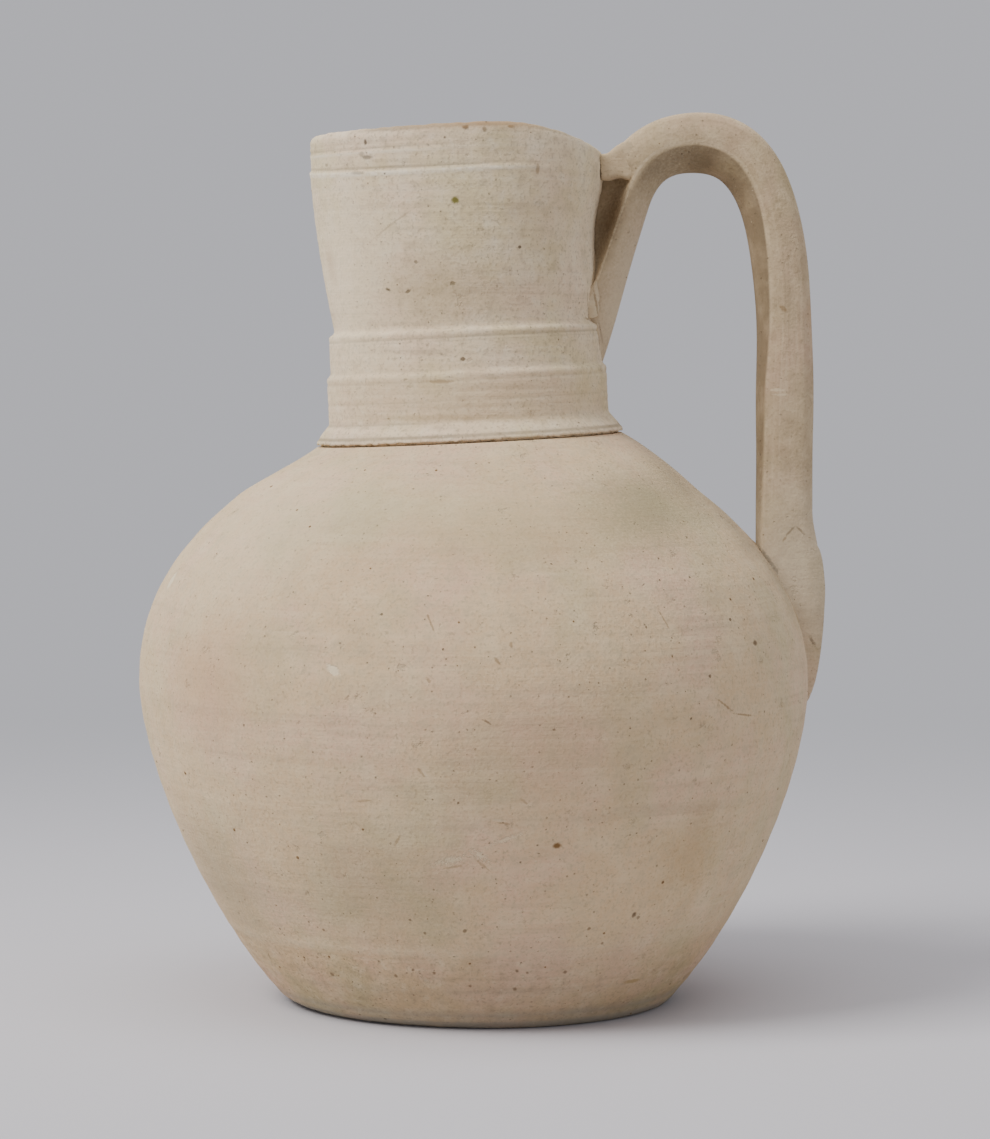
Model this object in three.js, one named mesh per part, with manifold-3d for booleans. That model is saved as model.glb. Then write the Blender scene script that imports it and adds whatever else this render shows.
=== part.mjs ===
import * as THREE from 'three';
import { mergeVertices } from 'three/addons/utils/BufferGeometryUtils.js';
import Module from 'manifold-3d';

// An unglazed earthenware ewer: a wheel-thrown body, a neck thrown apart and luted onto it, and a
// pulled strap handle pressed on with wads of clay. Lengths are millimetres and angles degrees.
// The wheel axis is Z, the table is z = 0 and the handle stands towards +X.

// Body, from the table up. A pull is how far a curve keeps the direction that it starts with.
const BASE_RADIUS = 40;
const FOOT_RADIUS = 46.8;
const FOOT_HEIGHT = 8.5;
const FOOT_FLARE = 35.3;
const FOOT_PULL = 28.4;
const BELLY_RADIUS = 69.5;
const BELLY_HEIGHT = 66.5;
const BELLY_PULL_DOWN = 10.7;
const BELLY_PULL_UP = 23.1;
const SHOULDER_RISE = 50.1;
const SHOULDER_SLOPE = 31.5;
const SHOULDER_PULL = 25.8;
const BODY_WALL = 5;
const FLOOR_THICKNESS = 7;

// Neck, each height measured from the end of the one before it.
const FLANGE_RADIUS = 31.6;
const FLANGE_EDGE = 0.8;
const FLANGE_RISE = 3.2;
const LOWER_BAND_RADIUS = 29.3;
const LOWER_BAND_HEIGHT = 7.9;
const UPPER_BAND_RADIUS = 28.4;
const UPPER_BAND_HEIGHT = 7.2;
const BAND_STEP = 1.2;
const WAIST_RADIUS = 27;
const FLARE_HEIGHT = 38.7;
const FLARE_ANGLE = 9;
const FLARE_PULL_LOW = 11;
const FLARE_PULL_HIGH = 14;
const RIM_RADIUS = 30.4;
const LIP_HEIGHT = 2.4;
const LIP_ROUNDING = 1.3;
const LIP_THICKNESS = 4.2;
const NECK_WALL = 4.3;

// The rim dips where the handle was pressed onto it.
const RIM_DIP = 5.6;
const RIM_DIP_SPREAD = 75;
const RIM_DIP_DEPTH = 20;

// The neck leans away from the handle, more and more over the span below its seat, and the body's
// axis drifts the same way up to there.
const LEAN = 2.8;
const LEAN_SPAN = 12;
const AXIS_DRIFT = 1.4;

// Handle strap
const STRAP_THICKNESS = 11.6;
const STRAP_WIDTH = 15.6;
const STRAP_SQUARENESS = 2.6;
const HANDLE_RISE = 3.5;
const ARCH_SETBACK = 19.4;
const ARCH_PULL_NECK = 8.5;
const ARCH_PULL_TOP_NECK = 8;
const ARCH_PULL_TOP_LEG = 13;
const ARCH_PULL_LEG = 35.5;
const ARCH_DROP = 49;
const SPRING_DROP = 16;
const SPRING_STANDOFF = 3.9;
const ROOT_HEIGHT = 15;
const ROOT_DEPTH = 5.4;
const STRAP_END_RISE = 14;
const STRAP_END_DEPTH = 6;
const STRAP_END_BEND = 14;

// Wads of clay pressed round the strap's ends. A lap is how far a wad reaches past the strap's side.
const RIM_WAD_LENGTH = 12;
const RIM_WAD_THICKNESS = 9.2;
const RIM_WAD_LAP = 2.3;
const RIM_WAD_TILT = 36;
const RIM_WAD_OUT = 2.4;
const RIM_WAD_DROP = 4.2;
const ROOT_WAD_DEPTH = 5;
const ROOT_WAD_LENGTH = 7.4;
const ROOT_WAD_HEIGHT = 26.6;
const SHOULDER_WAD_LENGTH = 38;
const SHOULDER_WAD_SWELL = 2.9;
const SHOULDER_WAD_LAP = 1.7;
const SHOULDER_WAD_RISE = 17;

// Luting slip and the clearance left at each side of it, and between a wad and what it is pressed on.
const NECK_SLIP = 0.8;
const HANDLE_SLIP = 0.5;
const CLEARANCE = 0.3;

// Facets
const WHEEL_FACETS = 48;
const CURVE_STEPS = 9;
const BORE_STEPS = 7;
const SECTION_POINTS = 20;
const STRAP_STEPS = 44;
const WAD_FACETS = 20;
const WAD_RINGS = 12;
const LIP_STEPS = 3;
const WELD_DISTANCE = 1e-4;

// The same clay in four states of working: its colour and how matt it is.
const THROWN_CLAY = { color: 0xc3aa88, roughness: 0.92 };
const PULLED_CLAY = { color: 0xb99e7b, roughness: 0.92 };
const PRESSED_CLAY = { color: 0xbfa583, roughness: 0.92 };
const LUTING_SLIP = { color: 0xaa906e, roughness: 0.95 };

const wasm = await Module();
wasm.setup();

const radians = THREE.MathUtils.degToRad;
const smooth = (x) => THREE.MathUtils.smoothstep(x, 0, 1);

const seatHeight = BELLY_HEIGHT + SHOULDER_RISE;
const neckFoot = seatHeight + NECK_SLIP + 2 * CLEARANCE;
const lowerBandStart = neckFoot + FLANGE_EDGE + FLANGE_RISE;
const lowerBandEnd = lowerBandStart + LOWER_BAND_HEIGHT;
const upperBandStart = lowerBandEnd + BAND_STEP;
const upperBandEnd = upperBandStart + UPPER_BAND_HEIGHT;
const waistHeight = upperBandEnd + BAND_STEP;
const lipStart = waistHeight + FLARE_HEIGHT;
const rimHeight = lipStart + LIP_HEIGHT;
const neckBoreAtFoot = LOWER_BAND_RADIUS - NECK_WALL;

// Closed three.js geometry to a solid that can be cut and joined.
function solid(geometry) {
  geometry.deleteAttribute('normal');
  geometry.deleteAttribute('uv');
  const merged = mergeVertices(geometry, WELD_DISTANCE);
  const index = merged.index.array;
  const triangles = [];
  for (let i = 0; i < index.length; i += 3) {
    const [a, b, c] = [index[i], index[i + 1], index[i + 2]];
    if (a !== b && b !== c && c !== a) triangles.push(a, b, c);
  }
  const mesh = new wasm.Mesh({
    numProp: 3,
    vertProperties: new Float32Array(merged.attributes.position.array),
    triVerts: new Uint32Array(triangles),
  });
  mesh.merge();
  return new wasm.Manifold(mesh);
}

// A solid as a named mesh with its own material.
function piece(name, shape, clay) {
  const data = shape.getMesh();
  const geometry = new THREE.BufferGeometry();
  geometry.setAttribute('position', new THREE.BufferAttribute(data.vertProperties, 3));
  geometry.setIndex(new THREE.BufferAttribute(data.triVerts, 1));
  geometry.computeVertexNormals();
  const material = new THREE.MeshStandardMaterial({ ...clay, metalness: 0 });
  const mesh = new THREE.Mesh(geometry, material);
  mesh.name = name;
  return mesh;
}

// The lean moves a point of the upright pot to where it stands in the finished one.
function leaned(point) {
  const angle = radians(LEAN);
  const along = 1 + (point.z - seatHeight) / LEAN_SPAN;
  const tilt = angle * smooth(along);
  const inside = THREE.MathUtils.clamp(along, 0, 1);
  const bent = LEAN_SPAN * (inside ** 3 - inside ** 4 / 2);
  const past = Math.max(0, point.z - seatHeight);
  const shift = -Math.sin(angle) * (bent + past) - AXIS_DRIFT * smooth(point.z / seatHeight);
  return new THREE.Vector3(
    shift + point.x * Math.cos(tilt), point.y, point.z + point.x * Math.sin(tilt));
}

// The rim's dip moves a point of a round neck down, near the rim and near the handle.
function dipped(point) {
  const azimuth = THREE.MathUtils.radToDeg(Math.atan2(point.y, point.x));
  const near = Math.min(1, Math.abs(azimuth) / RIM_DIP_SPREAD);
  const share = (1 + Math.cos(Math.PI * near)) / 2;
  const depth = smooth((point.z - rimHeight + RIM_DIP_DEPTH) / RIM_DIP_DEPTH);
  return new THREE.Vector3(point.x, point.y, point.z - RIM_DIP * share * depth);
}

function moved(geometry, ...moves) {
  const position = geometry.attributes.position;
  for (let i = 0; i < position.count; i++) {
    let point = new THREE.Vector3().fromBufferAttribute(position, i);
    for (const move of moves) point = move(point);
    position.setXYZ(i, point.x, point.y, point.z);
  }
  return geometry;
}

// A profile of radius and height, turned about the wheel axis. The profile runs counter-clockwise.
function thrown(profile) {
  return new THREE.LatheGeometry(profile, WHEEL_FACETS).rotateX(Math.PI / 2);
}

// A profile moved along its own normals, outwards for a positive distance.
function offset(profile, distance) {
  return profile.map((point, i) => {
    const before = profile[Math.max(0, i - 1)];
    const after = profile[Math.min(profile.length - 1, i + 1)];
    const along = after.clone().sub(before).normalize();
    return new THREE.Vector2(point.x + along.y * distance, point.y - along.x * distance);
  });
}

// Outer wall of the body from the base's edge to the seat of the neck.
function bodyProfile() {
  const flare = radians(FOOT_FLARE);
  const slope = radians(SHOULDER_SLOPE);
  const path = new THREE.Path();
  path.moveTo(BASE_RADIUS, 0);
  path.lineTo(FOOT_RADIUS, FOOT_HEIGHT);
  path.bezierCurveTo(
    FOOT_RADIUS + FOOT_PULL * Math.sin(flare), FOOT_HEIGHT + FOOT_PULL * Math.cos(flare),
    BELLY_RADIUS, BELLY_HEIGHT - BELLY_PULL_DOWN,
    BELLY_RADIUS, BELLY_HEIGHT);
  path.bezierCurveTo(
    BELLY_RADIUS, BELLY_HEIGHT + BELLY_PULL_UP,
    FLANGE_RADIUS + SHOULDER_PULL * Math.cos(slope), seatHeight - SHOULDER_PULL * Math.sin(slope),
    FLANGE_RADIUS, seatHeight);
  return path.getPoints(CURVE_STEPS);
}

// Outer wall of the neck from its flange, over two stepped bands and the waist, to the lip.
function neckProfile() {
  const path = new THREE.Path();
  path.moveTo(FLANGE_RADIUS, neckFoot);
  path.lineTo(FLANGE_RADIUS, neckFoot + FLANGE_EDGE);
  path.lineTo(LOWER_BAND_RADIUS, lowerBandStart);
  path.lineTo(LOWER_BAND_RADIUS, lowerBandEnd);
  path.lineTo(UPPER_BAND_RADIUS, upperBandStart);
  path.lineTo(UPPER_BAND_RADIUS, upperBandEnd);
  path.lineTo(WAIST_RADIUS, waistHeight);
  const flare = radians(FLARE_ANGLE);
  path.bezierCurveTo(
    WAIST_RADIUS + FLARE_PULL_LOW * Math.sin(flare), waistHeight + FLARE_PULL_LOW * Math.cos(flare),
    RIM_RADIUS, lipStart - FLARE_PULL_HIGH,
    RIM_RADIUS, lipStart);
  return path.getPoints(CURVE_STEPS);
}

// The neck's bore from the mouth down to its foot.
function borePath() {
  const mouth = RIM_RADIUS - LIP_THICKNESS;
  const waist = WAIST_RADIUS - NECK_WALL;
  const path = new THREE.Path();
  path.moveTo(mouth, lipStart);
  path.bezierCurveTo(
    mouth, lipStart - FLARE_PULL_HIGH, waist, waistHeight + FLARE_PULL_LOW, waist, waistHeight);
  path.quadraticCurveTo(waist, lowerBandEnd, neckBoreAtFoot, neckFoot);
  return path;
}

// Radius of a profile where it first reaches a height.
function radiusAt(profile, height) {
  const next = profile.findIndex((point) => point.y >= height);
  const [low, high] = [profile[next - 1], profile[next]];
  const share = (height - low.y) / (high.y - low.y);
  return THREE.MathUtils.lerp(low.x, high.x, share);
}

function bodyShape() {
  const outer = bodyProfile();
  const wall = offset(outer, -BODY_WALL);
  const inner = wall.filter((point) => point.y > FLOOR_THICKNESS && point.x > neckBoreAtFoot);
  const profile = [
    new THREE.Vector2(0, 0),
    ...outer,
    new THREE.Vector2(neckBoreAtFoot, seatHeight),
    new THREE.Vector2(neckBoreAtFoot, inner[inner.length - 1].y),
    ...inner.reverse(),
    new THREE.Vector2(radiusAt(wall, FLOOR_THICKNESS), FLOOR_THICKNESS),
    new THREE.Vector2(0, FLOOR_THICKNESS),
  ];
  return solid(moved(thrown(profile), leaned));
}

function neckSlipShape() {
  const low = seatHeight + CLEARANCE;
  const high = low + NECK_SLIP;
  const profile = [
    new THREE.Vector2(neckBoreAtFoot, low),
    new THREE.Vector2(FLANGE_RADIUS, low),
    new THREE.Vector2(FLANGE_RADIUS, high),
    new THREE.Vector2(neckBoreAtFoot, high),
    new THREE.Vector2(neckBoreAtFoot, low),
  ];
  return solid(moved(thrown(profile), leaned));
}

function neckShape() {
  const mouth = RIM_RADIUS - LIP_THICKNESS;
  const lip = new THREE.Path();
  lip.moveTo(RIM_RADIUS, lipStart);
  lip.quadraticCurveTo(RIM_RADIUS, rimHeight, RIM_RADIUS - LIP_ROUNDING, rimHeight);
  lip.lineTo(mouth + LIP_ROUNDING, rimHeight);
  lip.quadraticCurveTo(mouth, rimHeight, mouth, lipStart);
  const outer = neckProfile();
  const over = lip.getPoints(LIP_STEPS).slice(1, -1);
  const bore = borePath().getPoints(BORE_STEPS);
  const profile = [...outer, ...over, ...bore, outer[0].clone()];
  return solid(moved(thrown(profile), dipped, leaned));
}

// Filled outlines of the body and the neck, grown by a gap, to cut the handle's pieces with.
function bodyGrown(gap) {
  const wall = offset(bodyProfile(), gap);
  const top = wall[wall.length - 1];
  const profile = [new THREE.Vector2(0, -gap), new THREE.Vector2(wall[0].x, -gap), ...wall];
  profile.push(new THREE.Vector2(0, top.y));
  return solid(moved(thrown(profile), leaned));
}

function neckGrown(gap) {
  const wall = offset(neckProfile(), gap);
  const top = rimHeight + RIM_WAD_THICKNESS;
  const profile = [new THREE.Vector2(0, wall[0].y), ...wall];
  profile.push(new THREE.Vector2(RIM_RADIUS + gap, top), new THREE.Vector2(0, top));
  return solid(moved(thrown(profile), leaned));
}

// Points of the finished outer surface towards the handle.
function onBody(height) {
  return leaned(new THREE.Vector3(radiusAt(bodyProfile(), height), 0, height));
}

function onNeck(height, side = 0) {
  const radius = radiusAt(neckProfile(), height);
  return leaned(new THREE.Vector3(Math.sqrt(radius ** 2 - side ** 2), side, height));
}

const rimEdge = leaned(dipped(new THREE.Vector3(RIM_RADIUS, 0, rimHeight)));

// The leg's outer face stands plumb over the belly's widest line.
const legX = BELLY_RADIUS - STRAP_THICKNESS / 2;

// Middle line of the strap: up the neck, over the arch, down to the shoulder and into its wall.
function strapPath() {
  const up = new THREE.Vector3(0, 0, 1);
  const out = new THREE.Vector3(1, 0, 0);
  const root = onNeck(neckFoot + ROOT_HEIGHT).addScaledVector(out, -ROOT_DEPTH);
  const spring = onNeck(rimHeight - SPRING_DROP).addScaledVector(out, SPRING_STANDOFF);
  const rising = spring.clone().sub(root).normalize();
  const topHeight = rimHeight + HANDLE_RISE - STRAP_THICKNESS / 2;
  const top = new THREE.Vector3(rimEdge.x + ARCH_SETBACK, 0, topHeight);
  const legTop = new THREE.Vector3(legX, 0, topHeight - ARCH_DROP);
  const end = onBody(BELLY_HEIGHT + STRAP_END_RISE).addScaledVector(out, -STRAP_END_DEPTH);
  const bend = new THREE.Vector3(legX, 0, end.z + STRAP_END_BEND);
  const corner = new THREE.Vector3(legX, 0, end.z + STRAP_END_BEND / 2);
  const path = new THREE.CurvePath();
  path.add(new THREE.LineCurve3(root, spring));
  path.add(new THREE.CubicBezierCurve3(
    spring, spring.clone().addScaledVector(rising, ARCH_PULL_NECK),
    top.clone().addScaledVector(out, -ARCH_PULL_TOP_NECK), top));
  path.add(new THREE.CubicBezierCurve3(
    top, top.clone().addScaledVector(out, ARCH_PULL_TOP_LEG),
    legTop.clone().addScaledVector(up, ARCH_PULL_LEG), legTop));
  path.add(new THREE.LineCurve3(legTop, bend));
  path.add(new THREE.QuadraticBezierCurve3(bend, corner, end));
  return path;
}

// The strap's rounded section, swept along its middle line and grown by a gap.
function strapGrown(gap) {
  const points = [];
  for (let i = 0; i < SECTION_POINTS; i++) {
    const angle = (2 * Math.PI * i) / SECTION_POINTS;
    const [c, s] = [Math.cos(angle), Math.sin(angle)];
    const round = (x) => Math.sign(x) * Math.abs(x) ** (2 / STRAP_SQUARENESS);
    points.push(new THREE.Vector2(
      round(c) * (STRAP_WIDTH / 2 + gap), round(s) * (STRAP_THICKNESS / 2 + gap)));
  }
  return solid(new THREE.ExtrudeGeometry(new THREE.Shape(points), {
    steps: STRAP_STEPS, bevelEnabled: false, extrudePath: strapPath(),
  }));
}

// An egg-shaped lump of clay with its three full sizes, tilted in the handle's plane.
function lump(size, tilt, center) {
  const egg = new THREE.SphereGeometry(0.5, WAD_FACETS, WAD_RINGS).rotateX(Math.PI / 2);
  egg.scale(size.x, size.y, size.z).rotateY(-radians(tilt));
  return solid(egg.translate(center.x, center.y, center.z));
}

function rimWadLump() {
  const size = new THREE.Vector3(RIM_WAD_LENGTH, STRAP_WIDTH + 2 * RIM_WAD_LAP, RIM_WAD_THICKNESS);
  const center = rimEdge.clone().add(new THREE.Vector3(RIM_WAD_OUT, 0, -RIM_WAD_DROP));
  return lump(size, RIM_WAD_TILT, center);
}

function rootWadLump() {
  const size = new THREE.Vector3(ROOT_WAD_DEPTH, ROOT_WAD_DEPTH, ROOT_WAD_LENGTH);
  return lump(size, 0, onNeck(neckFoot + ROOT_WAD_HEIGHT, -STRAP_WIDTH / 2));
}

// The shoulder wad swells from the strap's middle to past its outer face.
function shoulderWadLump() {
  const thickness = STRAP_THICKNESS / 2 + SHOULDER_WAD_SWELL;
  const width = STRAP_WIDTH + 2 * SHOULDER_WAD_LAP;
  const center = new THREE.Vector3(legX + thickness / 2, 0, BELLY_HEIGHT + SHOULDER_WAD_RISE);
  return lump(new THREE.Vector3(thickness, width, SHOULDER_WAD_LENGTH), 0, center);
}

const pastSlip = CLEARANCE + HANDLE_SLIP;
const seated = pastSlip + CLEARANCE;
const strap = strapGrown(0);
const strapCut = strapGrown(CLEARANCE);
const shoulderWad = shoulderWadLump();
const neckCut = neckGrown(CLEARANCE);
const bodyCut = bodyGrown(CLEARANCE);
const neckSeat = neckGrown(seated);
const bodySeat = bodyGrown(seated);
const underRoot = neckGrown(pastSlip).subtract(neckCut);
const underFoot = bodyGrown(pastSlip).subtract(bodyCut);

const pot = new THREE.Group();
pot.add(piece('body', bodyShape(), THROWN_CLAY));
pot.add(piece('neck_slip', neckSlipShape(), LUTING_SLIP));
pot.add(piece('neck', neckShape(), THROWN_CLAY));

const handle = new THREE.Group();
handle.add(piece('handle_strap', strap.subtract(neckSeat).subtract(bodySeat), PULLED_CLAY));
handle.add(piece('root_slip', strap.intersect(underRoot), LUTING_SLIP));
handle.add(piece('rim_wad', rimWadLump().subtract(strapCut).subtract(neckCut), PRESSED_CLAY));
handle.add(piece('root_wad', rootWadLump().subtract(strapCut).subtract(neckCut), PRESSED_CLAY));
handle.add(piece('shoulder_wad', shoulderWad.subtract(strapCut).subtract(bodySeat), PRESSED_CLAY));
handle.add(piece('shoulder_slip', strap.add(shoulderWad).intersect(underFoot), LUTING_SLIP));

const ewer = new THREE.Group();
ewer.add(pot, handle);

export default ewer;
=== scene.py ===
"""Looks of an unglazed earthenware ewer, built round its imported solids.

Sizes are millimetres unless a name says otherwise, and every mesh is made in metres. The wheel axis
is Z, the table is z = 0, the handle stands towards +X and the front of the pot looks along -Y. A
turn is in degrees round the wheel, from the front towards the handle.
"""

import logging
import math
from dataclasses import dataclass
from enum import Enum, auto

import bmesh
import bpy
import numpy as np
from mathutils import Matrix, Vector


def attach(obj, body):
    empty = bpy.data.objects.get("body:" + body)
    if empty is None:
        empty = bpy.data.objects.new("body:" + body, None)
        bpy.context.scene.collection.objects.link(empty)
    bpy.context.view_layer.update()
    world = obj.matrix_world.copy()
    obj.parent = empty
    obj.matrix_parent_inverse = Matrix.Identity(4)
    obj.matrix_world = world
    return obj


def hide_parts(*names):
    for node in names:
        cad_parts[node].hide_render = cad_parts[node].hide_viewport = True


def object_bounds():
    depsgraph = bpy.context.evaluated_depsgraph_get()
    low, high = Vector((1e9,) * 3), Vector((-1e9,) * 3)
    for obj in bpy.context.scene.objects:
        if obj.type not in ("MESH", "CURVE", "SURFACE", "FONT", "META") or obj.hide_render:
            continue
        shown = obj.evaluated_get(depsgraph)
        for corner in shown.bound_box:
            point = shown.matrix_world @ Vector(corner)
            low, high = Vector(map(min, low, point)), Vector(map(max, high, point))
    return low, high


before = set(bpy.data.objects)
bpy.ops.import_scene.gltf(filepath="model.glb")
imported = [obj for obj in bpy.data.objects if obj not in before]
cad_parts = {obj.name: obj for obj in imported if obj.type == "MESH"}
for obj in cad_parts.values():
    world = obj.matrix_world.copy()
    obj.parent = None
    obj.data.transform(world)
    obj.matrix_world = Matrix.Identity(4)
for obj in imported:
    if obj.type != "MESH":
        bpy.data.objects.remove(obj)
CAD_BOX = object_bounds()

LOG = logging.getLogger("ewer")
MM = 0.001
LAP = 2 * math.pi
HANDLE_TURN = 90.0
TINY = 1e-6
BODY = "root"
WEAR_AND_SHADE = "wear_and_shade"
PULL = "pull"
MATH, VECTOR, RANGE = "ShaderNodeMath", "ShaderNodeVectorMath", "ShaderNodeMapRange"
NOISE, MIX, OUTPUT = "ShaderNodeTexNoise", "ShaderNodeMix", "ShaderNodeOutputMaterial"
SPLIT, JOIN, SHADER = "ShaderNodeSeparateXYZ", "ShaderNodeCombineXYZ", "ShaderNodeBsdfPrincipled"
EASED = "SMOOTHSTEP"


def linear(code: str) -> tuple[float, float, float, float]:
    """Turn an sRGB colour to linear light.

    Args:
        code: Six hex digits.

    Returns:
        Red, green, blue and a full alpha.
    """
    parts = [int(code[i:i + 2], 16) / 255 for i in (0, 2, 4)]
    light = [p / 12.92 if p <= 0.04045 else ((p + 0.055) / 1.055) ** 2.4 for p in parts]
    return (*light, 1.0)


def add(tree: bpy.types.NodeTree, kind: str, inputs: dict | None = None,
        **settings: object) -> bpy.types.Node:
    """Add a node with its settings and links.

    Args:
        tree: Shader or geometry tree.
        kind: Blender's name of the node type.
        inputs: For each input, by name or place, a value, or the output or node that feeds it. A
            node feeds with the first of its outputs that is in use.
        settings: Properties of the node.

    Returns:
        The new node.
    """
    node = tree.nodes.new(kind)
    for name, value in settings.items():
        setattr(node, name, value)
    for key, value in (inputs or {}).items():
        socket = node.inputs[key] if isinstance(key, int) else next(
            s for s in node.inputs if s.enabled and s.name == key)
        if isinstance(value, bpy.types.Node):
            value = next(s for s in value.outputs if s.enabled)
        if isinstance(value, bpy.types.NodeSocket):
            tree.links.new(value, socket)
        else:
            socket.default_value = value
    return node


def fresh(name: str) -> tuple[bpy.types.Material, bpy.types.NodeTree, bpy.types.NodeSocket]:
    """Start a material.

    Args:
        name: What the material is and how it was made.

    Returns:
        The material, its tree and the object coordinates in it.
    """
    made = bpy.data.materials.new(name)
    made.use_nodes = True
    made.node_tree.nodes.clear()
    return made, made.node_tree, add(made.node_tree, "ShaderNodeTexCoord").outputs["Object"]


def smooth(x: np.ndarray) -> np.ndarray:
    """Ease from 0 to 1 as x goes from 0 to 1."""
    x = np.clip(x, 0.0, 1.0)
    return x * x * (3.0 - 2.0 * x)


def bezier(*controls: tuple[float, ...], steps: int = 60) -> np.ndarray:
    """Points of a Bezier curve.

    Args:
        controls: Two, three or four control points.
        steps: How many stretches the curve is cut into.

    Returns:
        The points, both ends included.
    """
    t = np.linspace(0.0, 1.0, steps + 1)[:, None]
    points = [np.asarray(c, float)[None, :] * np.ones_like(t) for c in controls]
    while len(points) > 1:
        points = [a * (1 - t) + b * t for a, b in zip(points, points[1:])]
    return points[0]


def chain(*lines: np.ndarray) -> np.ndarray:
    """Join lines end to end, each starting where the one before it stops."""
    return np.vstack([lines[0], *[line[1:] for line in lines[1:]]])


def measured(line: np.ndarray) -> np.ndarray:
    """How far along a line each of its points lies."""
    return np.concatenate([[0.0], np.cumsum(np.linalg.norm(np.diff(line, axis=0), axis=1))])


def even(line: np.ndarray, spacing: float) -> np.ndarray:
    """Cut a line into even stretches.

    Args:
        line: Points of the line.
        spacing: Length of a stretch, about.

    Returns:
        New points along the same line.
    """
    reach = measured(line)
    stops = np.linspace(0.0, reach[-1], max(2, round(reach[-1] / spacing) + 1))
    return np.stack([np.interp(stops, reach, axis) for axis in line.T], 1)


def softened(line: np.ndarray, rounding: float) -> np.ndarray:
    """Round the corners of a line as wet fingers do.

    Args:
        line: Points of the line, which keeps its ends.
        rounding: How far along the line a corner is spread.

    Returns:
        Points of the rounded line, four to each rounding.
    """
    per_rounding, half = 4, 12
    fine = even(line, rounding / per_rounding)
    weights = np.exp(-0.5 * (np.arange(-half, half + 1) / per_rounding) ** 2)
    padded = np.vstack([
        2 * fine[:1] - fine[half:0:-1], fine, 2 * fine[-1:] - fine[-2:-half - 2:-1]])
    return np.stack([np.convolve(a, weights / weights.sum(), "valid") for a in padded.T], 1)


def trimmed(loop: np.ndarray, share: float) -> np.ndarray:
    """Cut the corners off a closed loop.

    Args:
        loop: Points of the loop.
        share: How much of each side is cut off at each end.

    Returns:
        The loop with twice as many points.
    """
    after = np.roll(loop, -1, 0)
    ends = [loop * (1 - share) + after * share, loop * share + after * (1 - share)]
    return np.stack(ends, 1).reshape(-1, 2)


def tangents(line: np.ndarray) -> np.ndarray:
    """Unit direction along a line at each of its points."""
    along = np.gradient(line, axis=0)
    return along / np.maximum(np.linalg.norm(along, axis=1), TINY)[:, None]


def normals(line: np.ndarray) -> np.ndarray:
    """Unit direction out of a wall whose line of radius and height goes up."""
    along = tangents(line)
    return np.stack([along[:, 1], -along[:, 0]], 1)


def turn_of(points: np.ndarray) -> np.ndarray:
    """Turn at which each point lies."""
    return np.degrees(np.arctan2(points[:, 0], -points[:, 1]))


def ripple(angle: np.ndarray, size: float, seed: int, waves: int, fastest: int) -> np.ndarray:
    """Uneven height round a ring, the same on each run.

    Args:
        angle: Where on the ring, in radians.
        size: Height of the waves.
        seed: Which set of waves.
        waves: How many waves are laid over each other.
        fastest: Most waves that go round the ring.

    Returns:
        Height at each angle.
    """
    dice = np.random.default_rng(seed)
    counts = dice.integers(2, fastest, waves)
    shifts = dice.uniform(0, LAP, waves)
    return size * np.mean([np.sin(n * angle + s) for n, s in zip(counts, shifts)], 0) * 2


def mesh_object(name: str, points: np.ndarray, faces: list,
                edges: list | None = None) -> bpy.types.Object:
    """Make an object of points in millimetres.

    Args:
        name: Name of the piece.
        points: Its points.
        faces: Point numbers of each face.
        edges: Point numbers of each loose edge.

    Returns:
        The object, linked to the scene.
    """
    mesh = bpy.data.meshes.new(name)
    mesh.from_pydata(np.asarray(points) * MM, edges or [], faces)
    mesh.polygons.foreach_set("use_smooth", [True] * len(mesh.polygons))
    piece = bpy.data.objects.new(name, mesh)
    bpy.context.scene.collection.objects.link(piece)
    return piece


def points_of(piece: bpy.types.Object) -> np.ndarray:
    """Read where a piece's points are.

    Args:
        piece: The piece.

    Returns:
        Its points, in millimetres.
    """
    flat = np.empty(len(piece.data.vertices) * 3, np.float32)
    piece.data.vertices.foreach_get("co", flat)
    return flat.reshape(-1, 3).astype(float) / MM


def move_points(piece: bpy.types.Object, points: np.ndarray) -> None:
    """Write a piece's points, given in millimetres."""
    piece.data.vertices.foreach_set("co", (points * MM).astype(np.float32).ravel())
    piece.data.update()


def rub(piece: bpy.types.Object, wear_and_shade: np.ndarray) -> None:
    """Write how each point of a piece is worn and painted, from -1 for dirt and painted shade to 1
    for rubbed clay and painted highlight.
    """
    layer = piece.data.attributes.get(WEAR_AND_SHADE) or piece.data.attributes.new(WEAR_AND_SHADE, "FLOAT", "POINT")
    layer.data.foreach_set("value", wear_and_shade.astype(np.float32))


def tube_faces(rings: int, around: int) -> list[tuple[int, ...]]:
    """Faces of a tube of rings, closed at both ends by a last point each.

    Args:
        rings: Number of rings.
        around: Points in a ring.

    Returns:
        Point numbers of each face.
    """
    pairs = [(k, (k + 1) % around) for k in range(around)]
    top = (rings - 1) * around
    faces = [(low + k, low + n, low + around + n, low + around + k)
             for low in range(0, top, around) for k, n in pairs]
    first, last = rings * around, rings * around + 1
    for k, n in pairs:
        faces += [(first, n, k), (last, top + k, top + n)]
    return faces


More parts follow.
